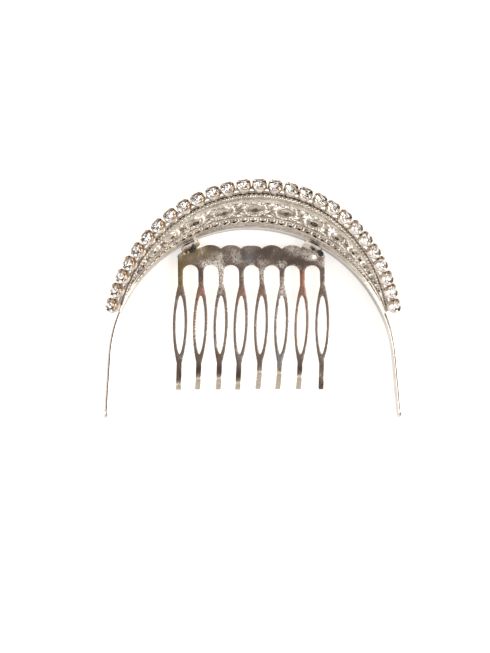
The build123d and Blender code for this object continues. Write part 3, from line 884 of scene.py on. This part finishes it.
# Frosted places, rougher and also whitened as a painted highlight: tooth number, offset, depth, size across
# and along, strength.
frost_and_highlight_marks = [
    (5.5, 0.0, 10.2, 3.2, 1.3, 0.9),
    (5, 0.0, 13.5, 1.3, 4.5, 0.9),
    (5, 0.5, 8.0, 2.4, 1.6, 0.7),
    (4, 1.4, 7.8, 1.6, 2.4, 0.7),
    (6, -1.5, 9.7, 2.6, 1.0, 0.6),
    (3, -0.8, 9.4, 2.4, 1.0, 0.5),
    (3, 0.0, 12.5, 1.2, 3.0, 0.7),
    (1, 2.7, 5.6, 1.8, 1.4, 0.6),
    (2, 0.0, 16.5, 1.2, 3.0, 0.7),
    (1, -1.2, 7.2, 2.4, 1.6, 0.85),
    (0, -0.5, 9.4, 2.0, 1.2, 0.9),
    (2, 0.0, 10.0, 1.6, 1.0, 0.7),
    (1, 1.5, 10.8, 1.6, 0.8, 0.6),
    (0, 1.8, 3.2, 2.6, 2.0, 0.9),
    (7, -1.8, 3.2, 2.6, 2.0, 0.7),
    (7, 0.4, 6.4, 1.0, 2.4, 0.5),
    (6, 1.2, 27.0, 1.0, 5.0, 0.6),
    (2, 1.2, 24.0, 1.0, 3.0, 0.6),
]


# A painted mark fades out at this share of its size, moved in or out by rough noise.
MARK_REACH = 1.35
MARK_ROUGHNESS = 0.35
MARK_GRAIN = 0.9


def share_at(x, depth, mark):
    """How strongly a painted mark shows at a point of the blank."""
    rough = MARK_ROUGHNESS * noise.noise(Vector((x * MARK_GRAIN, depth * MARK_GRAIN, 7)))
    tooth, offset, middle, across, down = mark[:5]
    far = hypot((x - tooth_x(tooth) - offset) / across, (depth - middle) / down) + rough
    return mark[-1] * max(0.0, min(1.0, MARK_REACH - far))


def tint_at(x, depth):
    """Colour and strength of the heat tint and the painted light at a point of the blank."""
    color, total = Vector((0, 0, 0)), 0.0
    for mark in tint_and_light_marks:
        share = share_at(x, depth, mark)
        color += Vector(mark[5]) * share
        total += share
    color = color / total if total else color
    return (*color, min(total, 0.93))


def frost_and_highlight_at(x, depth):
    """Strength of the frosting and its painted highlight at a point of the blank, none under burnt flux."""
    burnt = sum(share_at(x, depth, mark) for mark in tint_and_light_marks if mark[5] == FLUX)
    return max(0.0, min(1.0, sum(share_at(x, depth, mark) for mark in frost_and_highlight_marks)) - burnt)


def plate_seeds(edge_points):
    """The points of the blank's edges, more points spread over it, and close rows where the tips bend."""
    seeds = list(edge_points)
    count = int(SEED_AREA / SEED_STEP)
    for i in range(count):
        for j in range(count):
            x = -SEED_AREA / 2 + SEED_STEP * (i + 0.5 * (j % 2))
            y = 2.5 + SEED_STEP * j
            if y < BEND_START and min((x - a) ** 2 + (y - b) ** 2 for a, b in edge_points) > SEED_GAP:
                seeds.append((x, y))
    for x in tooth_centres:
        for j in range(int((tip_flat_end - BEND_START) / SEED_ROW) - 1):
            seeds.extend((x + off, BEND_START + 0.1 + SEED_ROW * j) for off in (-0.36, 0.0, 0.36))
    return seeds


def comb_plate():
    """Stamped blank with coined edges, its corners folded up as ears and its tips curved."""
    half = COMB_THICKNESS / 2
    flat, faces = [], []

    def put(points, new_faces):
        start = len(flat)
        flat.extend(points)
        faces.extend([start + i for i in face] for face in new_faces)

    top_loops = []
    for outline, is_outer in [(comb_outline(), True)] + [(loop_opening(x), False) for x in tooth_centres]:
        rings = []
        for side in (-1, 1):
            for turn in ((-90, -60, -30, 0) if side < 0 else (0, 30, 60, 90)):
                level = sin(radians(turn)) * EDGE_ROUND + (half - EDGE_ROUND) * side
                moved = inset(outline, EDGE_ROUND * (1 - cos(radians(turn))), is_outer)
                rings.append([(x, y, level) for x, y in moved])
        put(*loft(rings, caps=False))
        top_loops.append([(x, y) for x, y, _ in rings[-1]])
    edge_points = [p for loop in top_loops for p in loop]
    loop_faces, start = [], 0
    for loop in top_loops:
        loop_faces.append(list(range(start, start + len(loop))))
        start += len(loop)
    seeds = [Vector(p) for p in plate_seeds(edge_points)]
    result = geometry.delaunay_2d_cdt(seeds, [], loop_faces, 1, 1e-5, True)
    verts, triangles, owners = result[0], result[2], result[5]
    kept = [t for t, owner in zip(triangles, owners) if list(owner) == [0]]
    for level in (half, -half):
        put([(v.x, v.y, level) for v in verts], kept)
    plate = Shape().add([fold(*p) for p in flat], faces)
    # The painted tints hold painted highlights and dark reflections as well as heat tints.
    painted = {"tint_and_painted_light": [tint_at(x, depth) for x, depth, _ in flat],
               # The frosting also whitens the colour as a painted highlight.
               "frost_and_highlight": [frost_and_highlight_at(x, depth) for x, depth, _ in flat]}
    make_piece("comb_plate", plate, [comb_plating], ["comb"], 50, painted=painted, merge=0.002)


comb_plate()


def solder_blob(side, seed):
    """Lumpy solder run along the top of an ear, between it and the headband."""
    length, radius, steps, sides = 3.2, 0.46, 26, 20
    rings = []
    for i in range(steps + 1):
        t = i / steps
        end = sqrt(max(0.0, 1 - (2 * t - 1) ** 4))
        ring = []
        for x, y, _ in turned(1, 0, sides):
            lump = 1 + 0.42 * noise.noise(Vector((t * 5 + seed, x, y)))
            r = radius * end * lump + 0.01
            flat = 0.55 if x > 0 else 0.95
            ring.append((x * r * flat, y * r, (t - 0.5) * length))
        rings.append(ring)
    face = BAND_RADIUS - BAND_THICKNESS / 2 - EAR_GAP
    origin = outward(EAR_ANGLE) * (face - 0.25) + UP * (EAR_TOP - 0.55)
    shape = Shape().add(*loft(rings), plane(origin, outward(EAR_ANGLE), along(EAR_ANGLE)))
    if side < 0:
        shape.points = flipped(shape.points)
    name = "right" if side > 0 else "left"
    make_piece(f"solder_blob_{name}", shape, [solder_finish], [f"solder_{name}"], sharp=80)


def flux_lumps(name, places):
    """Burnt flux left at the root of an ear: places on the blank (x, depth) and sizes."""
    levels, sides = 12, 16
    shape = Shape()
    for x, depth, size in places:
        rings = []
        for i in range(levels + 1):
            t = pi * i / levels
            ring = []
            for j in range(sides):
                a = 2 * pi * j / sides
                p = Vector((sin(t) * cos(a), sin(t) * sin(a), cos(t)))
                lump = size * (1 + 0.5 * noise.noise(p * 1.7 + Vector((x, depth, 0))))
                ring.append((p.x * lump, p.y * lump, p.z * lump * 0.55))
            rings.append(ring)
        spot = fold(x, depth, COMB_THICKNESS / 2) + UP * 0.12
        shape.add(*loft(rings, caps=False), Matrix.Translation(spot))
    make_piece(f"burnt_flux_{name}", shape, [flux_crust], [f"solder_{name}"], sharp=80)


solder_blob(1, 2.0)
solder_blob(-1, 9.0)
flux_lumps("right", [(15.4, 6.0, 0.72), (16.0, 6.6, 0.45), (17.2, 7.0, 0.3), (15.9, 5.0, 0.42),
                     (16.1, 4.2, 0.3)])
flux_lumps("left", [(-16.7, 5.4, 0.42), (-18.75, 6.6, 0.7), (-18.0, 6.0, 0.34)])


# ---- rails ------------------------------------------------------------------------------

# Rounding at a rail's edges, in shares of its height, and steps along it.
RAIL_EDGE = 0.06
RAIL_STEPS = 134


def rail(name, node, low, high, ridges, depth):
    """Strip of the flared wall between two rows, its faces drawn into rounded ridges."""
    outer, inner = [], []
    count = 6 * ridges
    for i in range(count + 1):
        t = RAIL_EDGE + (1 - 2 * RAIL_EDGE) * i / count
        groove = depth * (0.5 + 0.5 * cos(2 * pi * ridges * i / count))
        outer.append((groove, t))
        inner.append((WALL - groove, 1 - t))
    near, far = 0.3 * WALL, 0.7 * WALL
    section = outer + [(near, 1.0), (far, 1.0)] + inner + [(far, 0.0), (near, 0.0)]
    rings = []
    for i in range(RAIL_STEPS + 1):
        angle = ORNAMENT_HALF_ANGLE * (2 * i / RAIL_STEPS - 1)
        a, b = on_wall(low, angle), on_wall(high, angle)
        rings.append([a.lerp(b, t) - outward(angle) * d for d, t in section])
    make_piece(name, Shape().add(*loft(rings)), [rail_plating], [node], sharp=60)


rail("base_rail_strip", "base_rail", BASE_RAIL_BOTTOM, BASE_RAIL_TOP, 2, 0.1)
rail("lower_rail_wire", "lower_rail", LOWER_RAIL_BOTTOM, LOWER_RAIL_TOP, 1, 0.14)
rail("upper_rail_strip", "upper_rail", UPPER_RAIL_BOTTOM, UPPER_RAIL_TOP, 2, 0.16)
rail("crest_rail_strip", "crest_rail", CREST_RAIL_BOTTOM, CREST_RAIL_TOP, 3, 0.16)


# ---- stones and settings ----------------------------------------------------------------

# A stone's rings of corners: count, radius and height in shares of the stone's radius, offset in corners.
STONE_RINGS = [(8, 0.6, 0.34, 0), (8, 0.84, 0.2, 0.5), (16, 1.0, 0.05, 0), (16, 1.0, -0.03, 0),
               (8, 0.06, -0.72, 0)]
# A claw's line: distance in from the cup's rim and height. Its half-widths follow.
PRONG_PATH = [(0.07, 1.45), (0.02, 1.8), (0.0, 2.08), (0.07, 2.3), (0.25, 2.45), (0.52, 2.53), (0.78, 2.51)]
PRONG_WIDTHS = [0.84, 0.82, 0.78, 0.74, 0.66, 0.5, 0.26]
LINK_HEIGHT = 0.66
# The most that a cup leans, in degrees, and the direction of the cups' side browned as painted shade, where
# the dark room shows in the rims' reflection.
CUP_LEAN = 3
PAINTED_SHADE_SIDE = Vector((-0.75, -0.66, 0))
BORE_RATIO = 0.84
# Leaves around the middle of each gap: direction, length and width in shares of the gap's height.
LEAVES = [(90, 0.26, 0.12), (270, 0.26, 0.12), (0, 0.15, 0.1), (180, 0.15, 0.1)]
LEAVES += [(turn, 0.33, 0.1) for turn in (52, 128, 232, 308)]
gallery_middle = midway(LOWER_RAIL_TOP, UPPER_RAIL_BOTTOM)
stone_rng = random.Random(5)


def stone_shape(radius, turn):
    """Round brilliant: crown and girdle in glass, back foiled. Returns points, faces and their indices."""
    builder = bmesh.new()
    for count, r, z, offset in STONE_RINGS:
        for k in range(count):
            a = 2 * pi * (k + offset) / count + turn
            builder.verts.new((r * radius * cos(a), r * radius * sin(a), z * radius))
    bmesh.ops.convex_hull(builder, input=builder.verts)
    bmesh.ops.dissolve_limit(builder, angle_limit=radians(1.5), verts=builder.verts, edges=builder.edges)
    builder.verts.index_update()
    points = [v.co.copy() for v in builder.verts]
    faces = [[v.index for v in f.verts] for f in builder.faces]
    builder.free()
    middles = [sum(points[i].z for i in face) / len(face) for face in faces]
    return points, faces, [1 if z < -0.05 * radius else 0 for z in middles]


def add_stone(shape, radius, matrix, open_backed=False):
    """One stone, turned at random. Open-backed ones show the dark lacquer over their foil."""
    turn = stone_rng.uniform(0, pi / 4)
    points, faces, index = stone_shape(radius, turn)
    start = len(shape.index)
    shape.add(points, faces, matrix)
    shape.index[start:] = index
    if open_backed:
        sides = 16
        angles = [2 * pi * (k + 0.5) / sides + turn for k in range(sides)]
        coat = [[(r * radius * cos(a), r * radius * sin(a), z * radius - 0.03) for a in angles]
                for r, z in ((1.0, -0.05), (0.06, -0.74))]
        shape.add(*loft(coat, caps=False), matrix, 2)


def cup_profile():
    """Thin-walled drawn cup, base at z = 0: outer side up, rim, inner side down."""
    wall = 0.14
    rim = CUP_DEPTH - 0.25
    out = CUP_RIM_RADIUS
    outer = [(0.55, 0.0), (1.2, 0.0), (CUP_BASE_RADIUS + 0.02, 0.08), (1.6, 0.45), (1.8, 0.85),
             (1.92, 1.25), (out, 1.6), (out, rim - 0.05)]
    top = [(out - 0.04, rim + 0.06), (out - 0.14, rim + 0.13), (out - 0.26, rim + 0.14),
           (STONE_RADIUS + 0.08, rim + 0.08)]
    inner = [(STONE_RADIUS, rim - 0.06), (STONE_RADIUS, 1.6), (1.45, 1.3), (1.25, 0.95), (0.95, 0.55),
             (0.6, wall)]
    return outer + top + inner


def cup_prong(angle):
    """Bent tongue of the cup's wall that holds the stone."""
    path = [(CUP_RIM_RADIUS - inwards, z) for inwards, z in PRONG_PATH]
    rings = []
    for i, (r, z) in enumerate(path):
        before = Vector(path[max(i - 1, 0)])
        after = Vector(path[min(i + 1, len(path) - 1)])
        t = (after - before).normalized()
        thick = 0.1 if i < len(path) - 1 else 0.05
        ring = []
        for u, v in rounded([(-1, -1), (1, -1), (1, 1), (-1, 1)], 0.6, 2):
            far = r + t.y * v * thick
            a = u * PRONG_WIDTHS[i] / r
            ring.append((far * cos(a), far * sin(a), z - t.x * v * thick))
        rings.append(ring)
    points, faces = loft(rings)
    return points, faces, Matrix.Rotation(radians(angle), 4, "Z")


def eyelet(side):
    """Small ring where a link enters the cup's side."""
    points, faces = sweep(turned(0.4, 0, 20), circle(0.1, 8), True)
    matrix = plane(Vector((side * 1.72, 0, LINK_HEIGHT)), Vector((0, 1, 0)), Vector((side * 0.86, 0, -0.5)))
    return points, faces, matrix


def both_sides(angle):
    """Signs of a row's places at this angle: one in the middle, two elsewhere."""
    return (1, -1) if angle else (1,)


def crest_cup(k, angle):
    """One cup of the crest with its stone, or a mirrored pair of them."""
    cups, stones = Shape(), Shape()
    painted_shade = []
    for side in both_sides(angle):
        base = crest_plane(angle * side)
        for axis in "XY":
            base = base @ Matrix.Rotation(radians(stone_rng.uniform(-CUP_LEAN, CUP_LEAN)), 4, axis)
        cups.add(*lathe(cup_profile(), 48), base)
        parts = [cup_prong(45 + 90 * i) for i in range(4)] + [eyelet(1), eyelet(-1)]
        for points, faces, matrix in parts:
            cups.add(points, faces, base @ matrix)
        seat = Matrix.Translation((0, 0, CUP_DEPTH - GIRDLE_DROP))
        add_stone(stones, STONE_RADIUS - 0.02, base @ seat)
        # Painted shade: each rim browns on the side towards the shaded direction, standing for the dark room
        # in its reflection.
        back = base.inverted()
        shade_direction = back.to_3x3() @ PAINTED_SHADE_SIDE
        for p in cups.points[len(painted_shade):]:
            local = back @ p
            share = 0.7 + 1.8 * (local.x * shade_direction.x + local.y * shade_direction.y) / CUP_RIM_RADIUS
            painted_shade.append(max(0.0, min(1.0, share)) * max(0.0, min(1.0, local.z - 0.6)))
    make_piece(f"crest_cup_{k:02d}", cups, [cup_plating], [f"crest_setting_{k:02d}"], 40,
               painted={"painted_shade": painted_shade})
    make_piece(f"crest_crystal_{k:02d}", stones, [crystal, foil], [f"crest_stone_{k:02d}"],
               flat=True)


def crest_links(angles):
    """Short waisted bars between neighbouring cups."""
    shape = Shape()
    widths = [1.35, 1.1, 0.95, 0.9, 0.95, 1.1, 1.35]
    steps = len(widths) - 1
    for side in (1, -1):
        for a, b in zip(angles, angles[1:]):
            start = crest_plane(a * side) @ Vector((0, 0, LINK_HEIGHT))
            end = crest_plane(b * side) @ Vector((0, 0, LINK_HEIGHT))
            way = (end - start).normalized()
            start, end = start + way * 1.6, end - way * 1.6
            sag = (crest_plane(a * side).to_3x3() @ Vector((0, 0, -1))) * 0.05
            path = [start.lerp(end, t) + sag * sin(pi * t) for t in [i / steps for i in range(steps + 1)]]
            shape.add(*sweep(path, circle(0.22, 12), scale=widths))
    make_piece("crest_link_bars", shape, [cup_plating], ["chain_links"])


def bead_radius(angle):
    return BEAD_RADIUS_MIDDLE + (BEAD_RADIUS_END - BEAD_RADIUS_MIDDLE) * (angle / CREST_HALF_ANGLE)


def beaded_wire():
    """Wire of touching balls along the inner top corner of the crest rail."""
    half = []
    angle = 0.0
    while angle < CREST_HALF_ANGLE:
        radius = bead_radius(angle)
        half.append((angle, radius))
        row_radius = base_radius + FLARE_SLOPE * row_height(CREST_RAIL_TOP, angle) - WALL - radius
        angle += degrees((2 * radius + BEAD_SPACING) / row_radius)
    balls = [(-a, r) for a, r in reversed(half[1:])] + half
    centres = [wall_plane(CREST_RAIL_TOP, a, WALL) @ Vector((0, -r, -r - 0.02)) for a, r in balls]
    path, scale = [], []
    for i, (centre, (_, radius)) in enumerate(zip(centres, balls)):
        a = centres[max(i - 1, 0)]
        b = centres[min(i + 1, len(centres) - 1)]
        way = (b - a).normalized()
        for t in (-0.97, -0.86, -0.62, -0.32, 0, 0.32, 0.62, 0.86, 0.97):
            path.append(centre + way * radius * t)
            scale.append(radius * max(0.34, sqrt(1 - t * t)))
    shape = Shape().add(*sweep(path, circle(1, 12), scale=scale))
    make_piece("crest_beaded_wire", shape, [filigree_plating], ["crest_beads"], sharp=70)


def setting_profile(radius, back, front, opening):
    """Bezel with a rolled lip, an inner seat and a back with a round opening."""
    bore = radius * BORE_RATIO
    lip = radius * opening
    shoulder = max(lip * 1.15, radius * 0.6)
    behind = [(lip, -back * 1.15), (shoulder, -back * 1.1), (radius * 0.9, -back * 0.9)]
    outer = [(radius, -back * 0.5), (radius, front * 0.5), (radius, front * 0.85), (radius * 0.95, front)]
    inner = [(bore * 1.02, front), (bore, front * 0.92), (bore, front * 0.35), (lip, -back * 0.4)]
    return behind + outer + inner


def bezel_stone(stones, radius, front, base):
    """Open-backed stone seated in a bezel."""
    seat = Matrix.Translation((0, 0, front - 0.2 * radius))
    add_stone(stones, radius * BORE_RATIO - 0.02, base @ seat, True)


def small_row():
    """Small bezel-set stones between the base rail and the lower rail."""
    settings, stones = Shape(), Shape()
    middle = midway(BASE_RAIL_TOP, LOWER_RAIL_BOTTOM)
    angle = 0.0
    while True:
        height = row_height(LOWER_RAIL_BOTTOM, angle) - row_height(BASE_RAIL_TOP, angle)
        if height < SMALL_ROW_MIN_HEIGHT:
            break
        level = row_direction(LOWER_RAIL_BOTTOM, angle).dot(along(angle))
        radius = height / flare_cos / 2 * level - 0.02
        front = SMALL_DEPTH_RATIO * radius + WALL / 2
        for side in both_sides(angle):
            base = wall_plane(middle, angle * side)
            settings.add(*lathe(setting_profile(radius, WALL / 2, front, 0.4), 28), base)
            bezel_stone(stones, radius, front, base)
        angle += degrees((height + SMALL_ROW_SPACING) / base_radius)
    make_piece("small_row_bezels", settings, [filigree_plating], ["small_row_settings"])
    make_piece("small_row_crystals", stones, [crystal, foil, lacquer], ["small_row_stones"],
               flat=True)


def gallery_height(angle):
    return (row_height(UPPER_RAIL_BOTTOM, angle) - row_height(LOWER_RAIL_TOP, angle)) / flare_cos


def milgrain_ring(radius, wire, beads):
    """Ring of round wire with a grained edge."""
    count = beads * 4
    scale = [wire * (0.82 + 0.18 * abs(cos(pi * i / 4))) for i in range(count)]
    return sweep(turned(radius, 0, count), circle(1, 10), closed=True, scale=scale)


def scroll_path(radius, curl):
    """C-scroll on the XY plane: half a turn, each end curling back inside."""
    start, half_turn, tail_turn = 8, 164, 300
    path = []
    for i in range(17):
        a = radians(start + half_turn * i / 16)
        path.append(Vector((radius * cos(a), radius * sin(a), 0)))
    tail = []
    for i in range(1, 15):
        t = i / 14
        a = radians(start - tail_turn * t)
        r = curl * (1 - 0.55 * t)
        tail.append(Vector((radius - curl + r * cos(a), r * sin(a) + radius * 0.14, 0)))
    return list(reversed(tail)) + path + flipped(tail)


def leaf(length, width, thickness):
    """Domed leaf with a raised midrib, from the origin along +X."""
    rings = []
    for i in range(11):
        t = i / 10
        half = width / 2 * sin(pi * t) ** 0.7 + 0.04
        rib = 1 + 0.5 * sin(pi * t)
        section = [(-1, 0), (-0.7, 0.5), (-0.2, 0.45), (0, rib), (0.2, 0.45), (0.7, 0.5), (1, 0)]
        section += [(0.7, -0.5), (0.2, -0.45), (0, -rib), (-0.2, -0.45), (-0.7, -0.5)]
        rings.append([(length * t, half * u, thickness / 2 * v) for u, v in section])
    return loft(rings)


def gallery_frame(angle, rings, balls, setting, stone):
    """Round frame with its stone and the balls that join it to the rails, or a mirrored pair of them."""
    height = gallery_height(angle)
    ring_radius = height * RING_RATIO / 2
    wire = height * RING_WIRE_RATIO / 2
    level = row_direction(UPPER_RAIL_BOTTOM, angle).dot(along(angle))
    bead = (height / 2 * level - ring_radius) / 2 - 0.02
    radius = ring_radius - 2 * wire - 0.02
    for side in both_sides(angle):
        base = wall_plane(gallery_middle, angle * side)
        rings.add(*milgrain_ring(ring_radius - wire, wire, 22), base)
        for end in (-1, 1):
            spot = Matrix.Translation((0, end * (ring_radius + bead + 0.02), 0))
            balls.add(*ball(bead, 9, 16, 0.02), base @ spot)
        profile = setting_profile(radius, SETTING_BACK, SETTING_FRONT, stone_rng.uniform(0.3, 0.58))
        setting.add(*lathe(profile, 40), base)
        for i in range(8):
            turn = Matrix.Rotation(pi * i / 4 + 0.2, 4, "Z")
            grain = Matrix.Translation((radius * 0.93, 0, SETTING_FRONT))
            setting.add(*ball(0.13, 6, 8, 0.05), base @ (turn @ grain))
        bezel_stone(stone, radius, SETTING_FRONT, base)


def gallery_gap(angle, scrolls):
    """Two scrolls, leaves and small curls between two round frames, on both sides."""
    tall = gallery_height(angle)
    scroll = sweep(scroll_path(tall * ARCH_RATIO, tall * ARCH_RATIO * 0.36),
                   circle(tall * RING_WIRE_RATIO / 2 * 0.9, 8))
    for side in (1, -1):
        for pair, turn in ((LOWER_RAIL_TOP, 0), (UPPER_RAIL_BOTTOM, pi)):
            scrolls.add(*scroll, wall_plane(pair, angle * side) @ Matrix.Rotation(turn, 4, "Z"))
        base = wall_plane(gallery_middle, angle * side)
        for turn, reach, width in LEAVES:
            spread = Matrix.Rotation(radians(turn), 4, "Z") @ Matrix.Translation((tall * 0.03, 0, 0))
            scrolls.add(*leaf(tall * reach, tall * width, WALL * 0.55), base @ spread)
        for across in (-1, 1):
            for end in (-1, 1):
                spot = Vector((across * tall * 0.33, end * tall * 0.4, 0))
                curl = [spot + Vector(p) for p in turned(tall * 0.075, 0, 16)]
                scrolls.add(*sweep(curl, circle(tall * 0.028, 8), closed=True), base)


def gallery():
    """Round frames with their stones, the balls that hold them, and scrolls and leaves between them."""
    rings, balls, scrolls = Shape(), Shape(), Shape()
    middle_setting, middle_stone, settings, stones = Shape(), Shape(), Shape(), Shape()
    angle = 0.0
    while gallery_height(angle) > CELL_MIN_HEIGHT:
        if angle:
            gallery_frame(angle, rings, balls, settings, stones)
        else:
            gallery_frame(angle, rings, balls, middle_setting, middle_stone)
        step = degrees(gallery_height(angle) * CELL_PITCH_RATIO / (base_radius + 2))
        if gallery_height(angle + step / 2) > CELL_MIN_HEIGHT:
            gallery_gap(angle + step / 2, scrolls)
        angle += step
    metal = [filigree_plating]
    glass = [crystal, foil, lacquer]
    make_piece("gallery_milgrain_rings", rings, metal, ["gallery_rings"], sharp=80)
    make_piece("gallery_grains", balls, metal, ["gallery_beads"], sharp=80)
    make_piece("gallery_scrolls", scrolls, metal, ["gallery_arches"], sharp=80)
    make_piece("centre_bezel", middle_setting, metal, ["centre_setting"])
    make_piece("centre_crystal", middle_stone, glass, ["centre_stone"], flat=True)
    make_piece("gallery_bezel", settings, metal, ["gallery_settings"])
    make_piece("gallery_crystal", stones, glass, ["gallery_stones"], flat=True)


crest = crest_angles()
for number, crest_angle in enumerate(crest):
    crest_cup(number, crest_angle)
crest_links(crest)
beaded_wire()
small_row()
gallery()


# ---- stage ------------------------------------------------------------------------------

# The room's colours by the height of a direction, from the horizon to straight above.
CEILING = [(0.0, (1.0, 0.99, 0.97)), (0.5, (1.0, 0.98, 0.96)), (0.8, (0.84, 0.78, 0.72)),
           (0.9, (0.66, 0.6, 0.55)), (0.945, (0.3, 0.255, 0.225)), (0.975, (0.215, 0.175, 0.155)),
           (1.0, (0.26, 0.215, 0.19))]
# Its brightness across, from the -X side to the +X side.
SIDES = [(0.3, (0.8, 0.79, 0.78)), (0.6, (0.9, 0.89, 0.88)), (1.0, (1.0, 0.99, 0.98))]
# The photographed frame's size and the camera's focal length in its pixels, distance and leans.
IMAGE_WIDTH, IMAGE_HEIGHT = 490, 653
FOCAL_PIXELS = 2294.3
CAMERA_DISTANCE = 0.6
CAMERA_TARGET = Vector((0.00225, 0.00623, 0.005))
CAMERA_LEAN_X, CAMERA_LEAN_Y, CAMERA_ROLL = radians(6.36), radians(7.61), radians(-0.755)


def floor():
    """White paper under the clip, a little bright by itself."""
    size = 6.0
    mesh = bpy.data.meshes.new("floor")
    corners = [(-size, -size, 0), (size, -size, 0), (size, size, 0), (-size, size, 0)]
    mesh.from_pydata(corners, [], [(0, 1, 2, 3)])
    n = Nodes("floor_paper")
    n.set(Base_Color=n.ramp(n.noise(6, 3), (0.3, (0.5, 0.49, 0.475)), (0.7, (0.52, 0.51, 0.5))))
    n.set(Roughness=0.9, Specular_IOR_Level=0.1)
    n.set(Emission_Color=(1.0, 0.975, 0.95, 1), Emission_Strength=0.68)
    mesh.materials.append(n.material)
    new_object("floor", mesh)


def room():
    """Bright room, dimmer on the -X side, with a brown-grey ceiling straight above and dark patches."""
    world = bpy.data.worlds.new("room")
    world.use_nodes = True
    tree = world.node_tree
    link = tree.links.new
    background = tree.nodes["Background"]
    direction = tree.nodes.new("ShaderNodeTexCoord").outputs["Generated"]
    split = tree.nodes.new("ShaderNodeSeparateXYZ")
    link(direction, split.inputs[0])

    def multiply(a, b):
        node = tree.nodes.new("ShaderNodeVectorMath")
        node.operation = "MULTIPLY"
        link(a, node.inputs[0])
        link(b, node.inputs[1])
        return node.outputs[0]

    height = color_ramp(tree, split.outputs["Z"], CEILING)
    across = tree.nodes.new("ShaderNodeMapRange")
    across.inputs["From Min"].default_value = -1.0
    link(split.outputs["X"], across.inputs["Value"])
    sides = color_ramp(tree, across.outputs["Result"], SIDES)
    patches = tree.nodes.new("ShaderNodeTexNoise")
    patches.inputs["Scale"].default_value = 4.5
    patches.inputs["Detail"].default_value = 1.0
    link(direction, patches.inputs["Vector"])
    dark = color_ramp(tree, patches.outputs["Fac"], [(0.4, (0.2, 0.15, 0.12)), (0.47, grey(1))])
    link(multiply(multiply(height, sides), dark), background.inputs["Color"])
    background.inputs["Strength"].default_value = 1.0
    bpy.context.scene.world = world


def soft_box(name, place, size, power, color):
    """Rectangular light aimed at the origin."""
    light = bpy.data.lights.new(name, "AREA")
    light.shape = "RECTANGLE"
    light.size, light.size_y = size
    light.energy = power
    light.color = color
    lamp = new_object(name, light)
    lamp.location = place
    lamp.rotation_euler = (Vector(place) * -1).to_track_quat("-Z", "Y").to_euler()


def camera():
    """Looks down from nearly straight above, a little from +X and from +Y."""
    back = Vector((tan(CAMERA_LEAN_X), tan(CAMERA_LEAN_Y), 1)).normalized()
    right = (-back).cross(Vector((0, -1, 0))).normalized()
    up = right.cross(-back)
    rolled_right = right * cos(CAMERA_ROLL) + up * sin(CAMERA_ROLL)
    rolled_up = up * cos(CAMERA_ROLL) - right * sin(CAMERA_ROLL)
    data = bpy.data.cameras.new("camera")
    data.sensor_fit = "AUTO"
    data.sensor_width = 36.0
    data.lens = FOCAL_PIXELS * data.sensor_width / max(IMAGE_WIDTH, IMAGE_HEIGHT)
    data.clip_start, data.clip_end = 0.02, 20.0
    body = new_object("camera", data)
    axes = Matrix((rolled_right, rolled_up, back)).transposed().to_4x4()
    body.matrix_world = Matrix.Translation(CAMERA_TARGET + back * CAMERA_DISTANCE) @ axes
    bpy.context.scene.camera = body


floor()
room()
soft_box("left_box", (0.6, 0.15, 0.4), (0.35, 0.6), 1.8, (1.0, 0.985, 0.96))
soft_box("right_box", (-0.55, 0.1, 0.45), (0.5, 0.7), 5.0, (1.0, 0.99, 0.975))
soft_box("front_box", (-0.1, -0.6, 0.45), (0.6, 0.3), 2.6, (1.0, 0.99, 0.98))
soft_box("low_box", (0.6, 0.22, 0.13), (0.5, 0.2), 1.6, (1.0, 0.985, 0.965))
soft_box("ceiling_strip", (-0.06, 0.17, 0.55), (0.5, 0.07), 0.13, (1.0, 0.95, 0.87))
camera()
bpy.context.scene.view_settings.view_transform = "Standard"
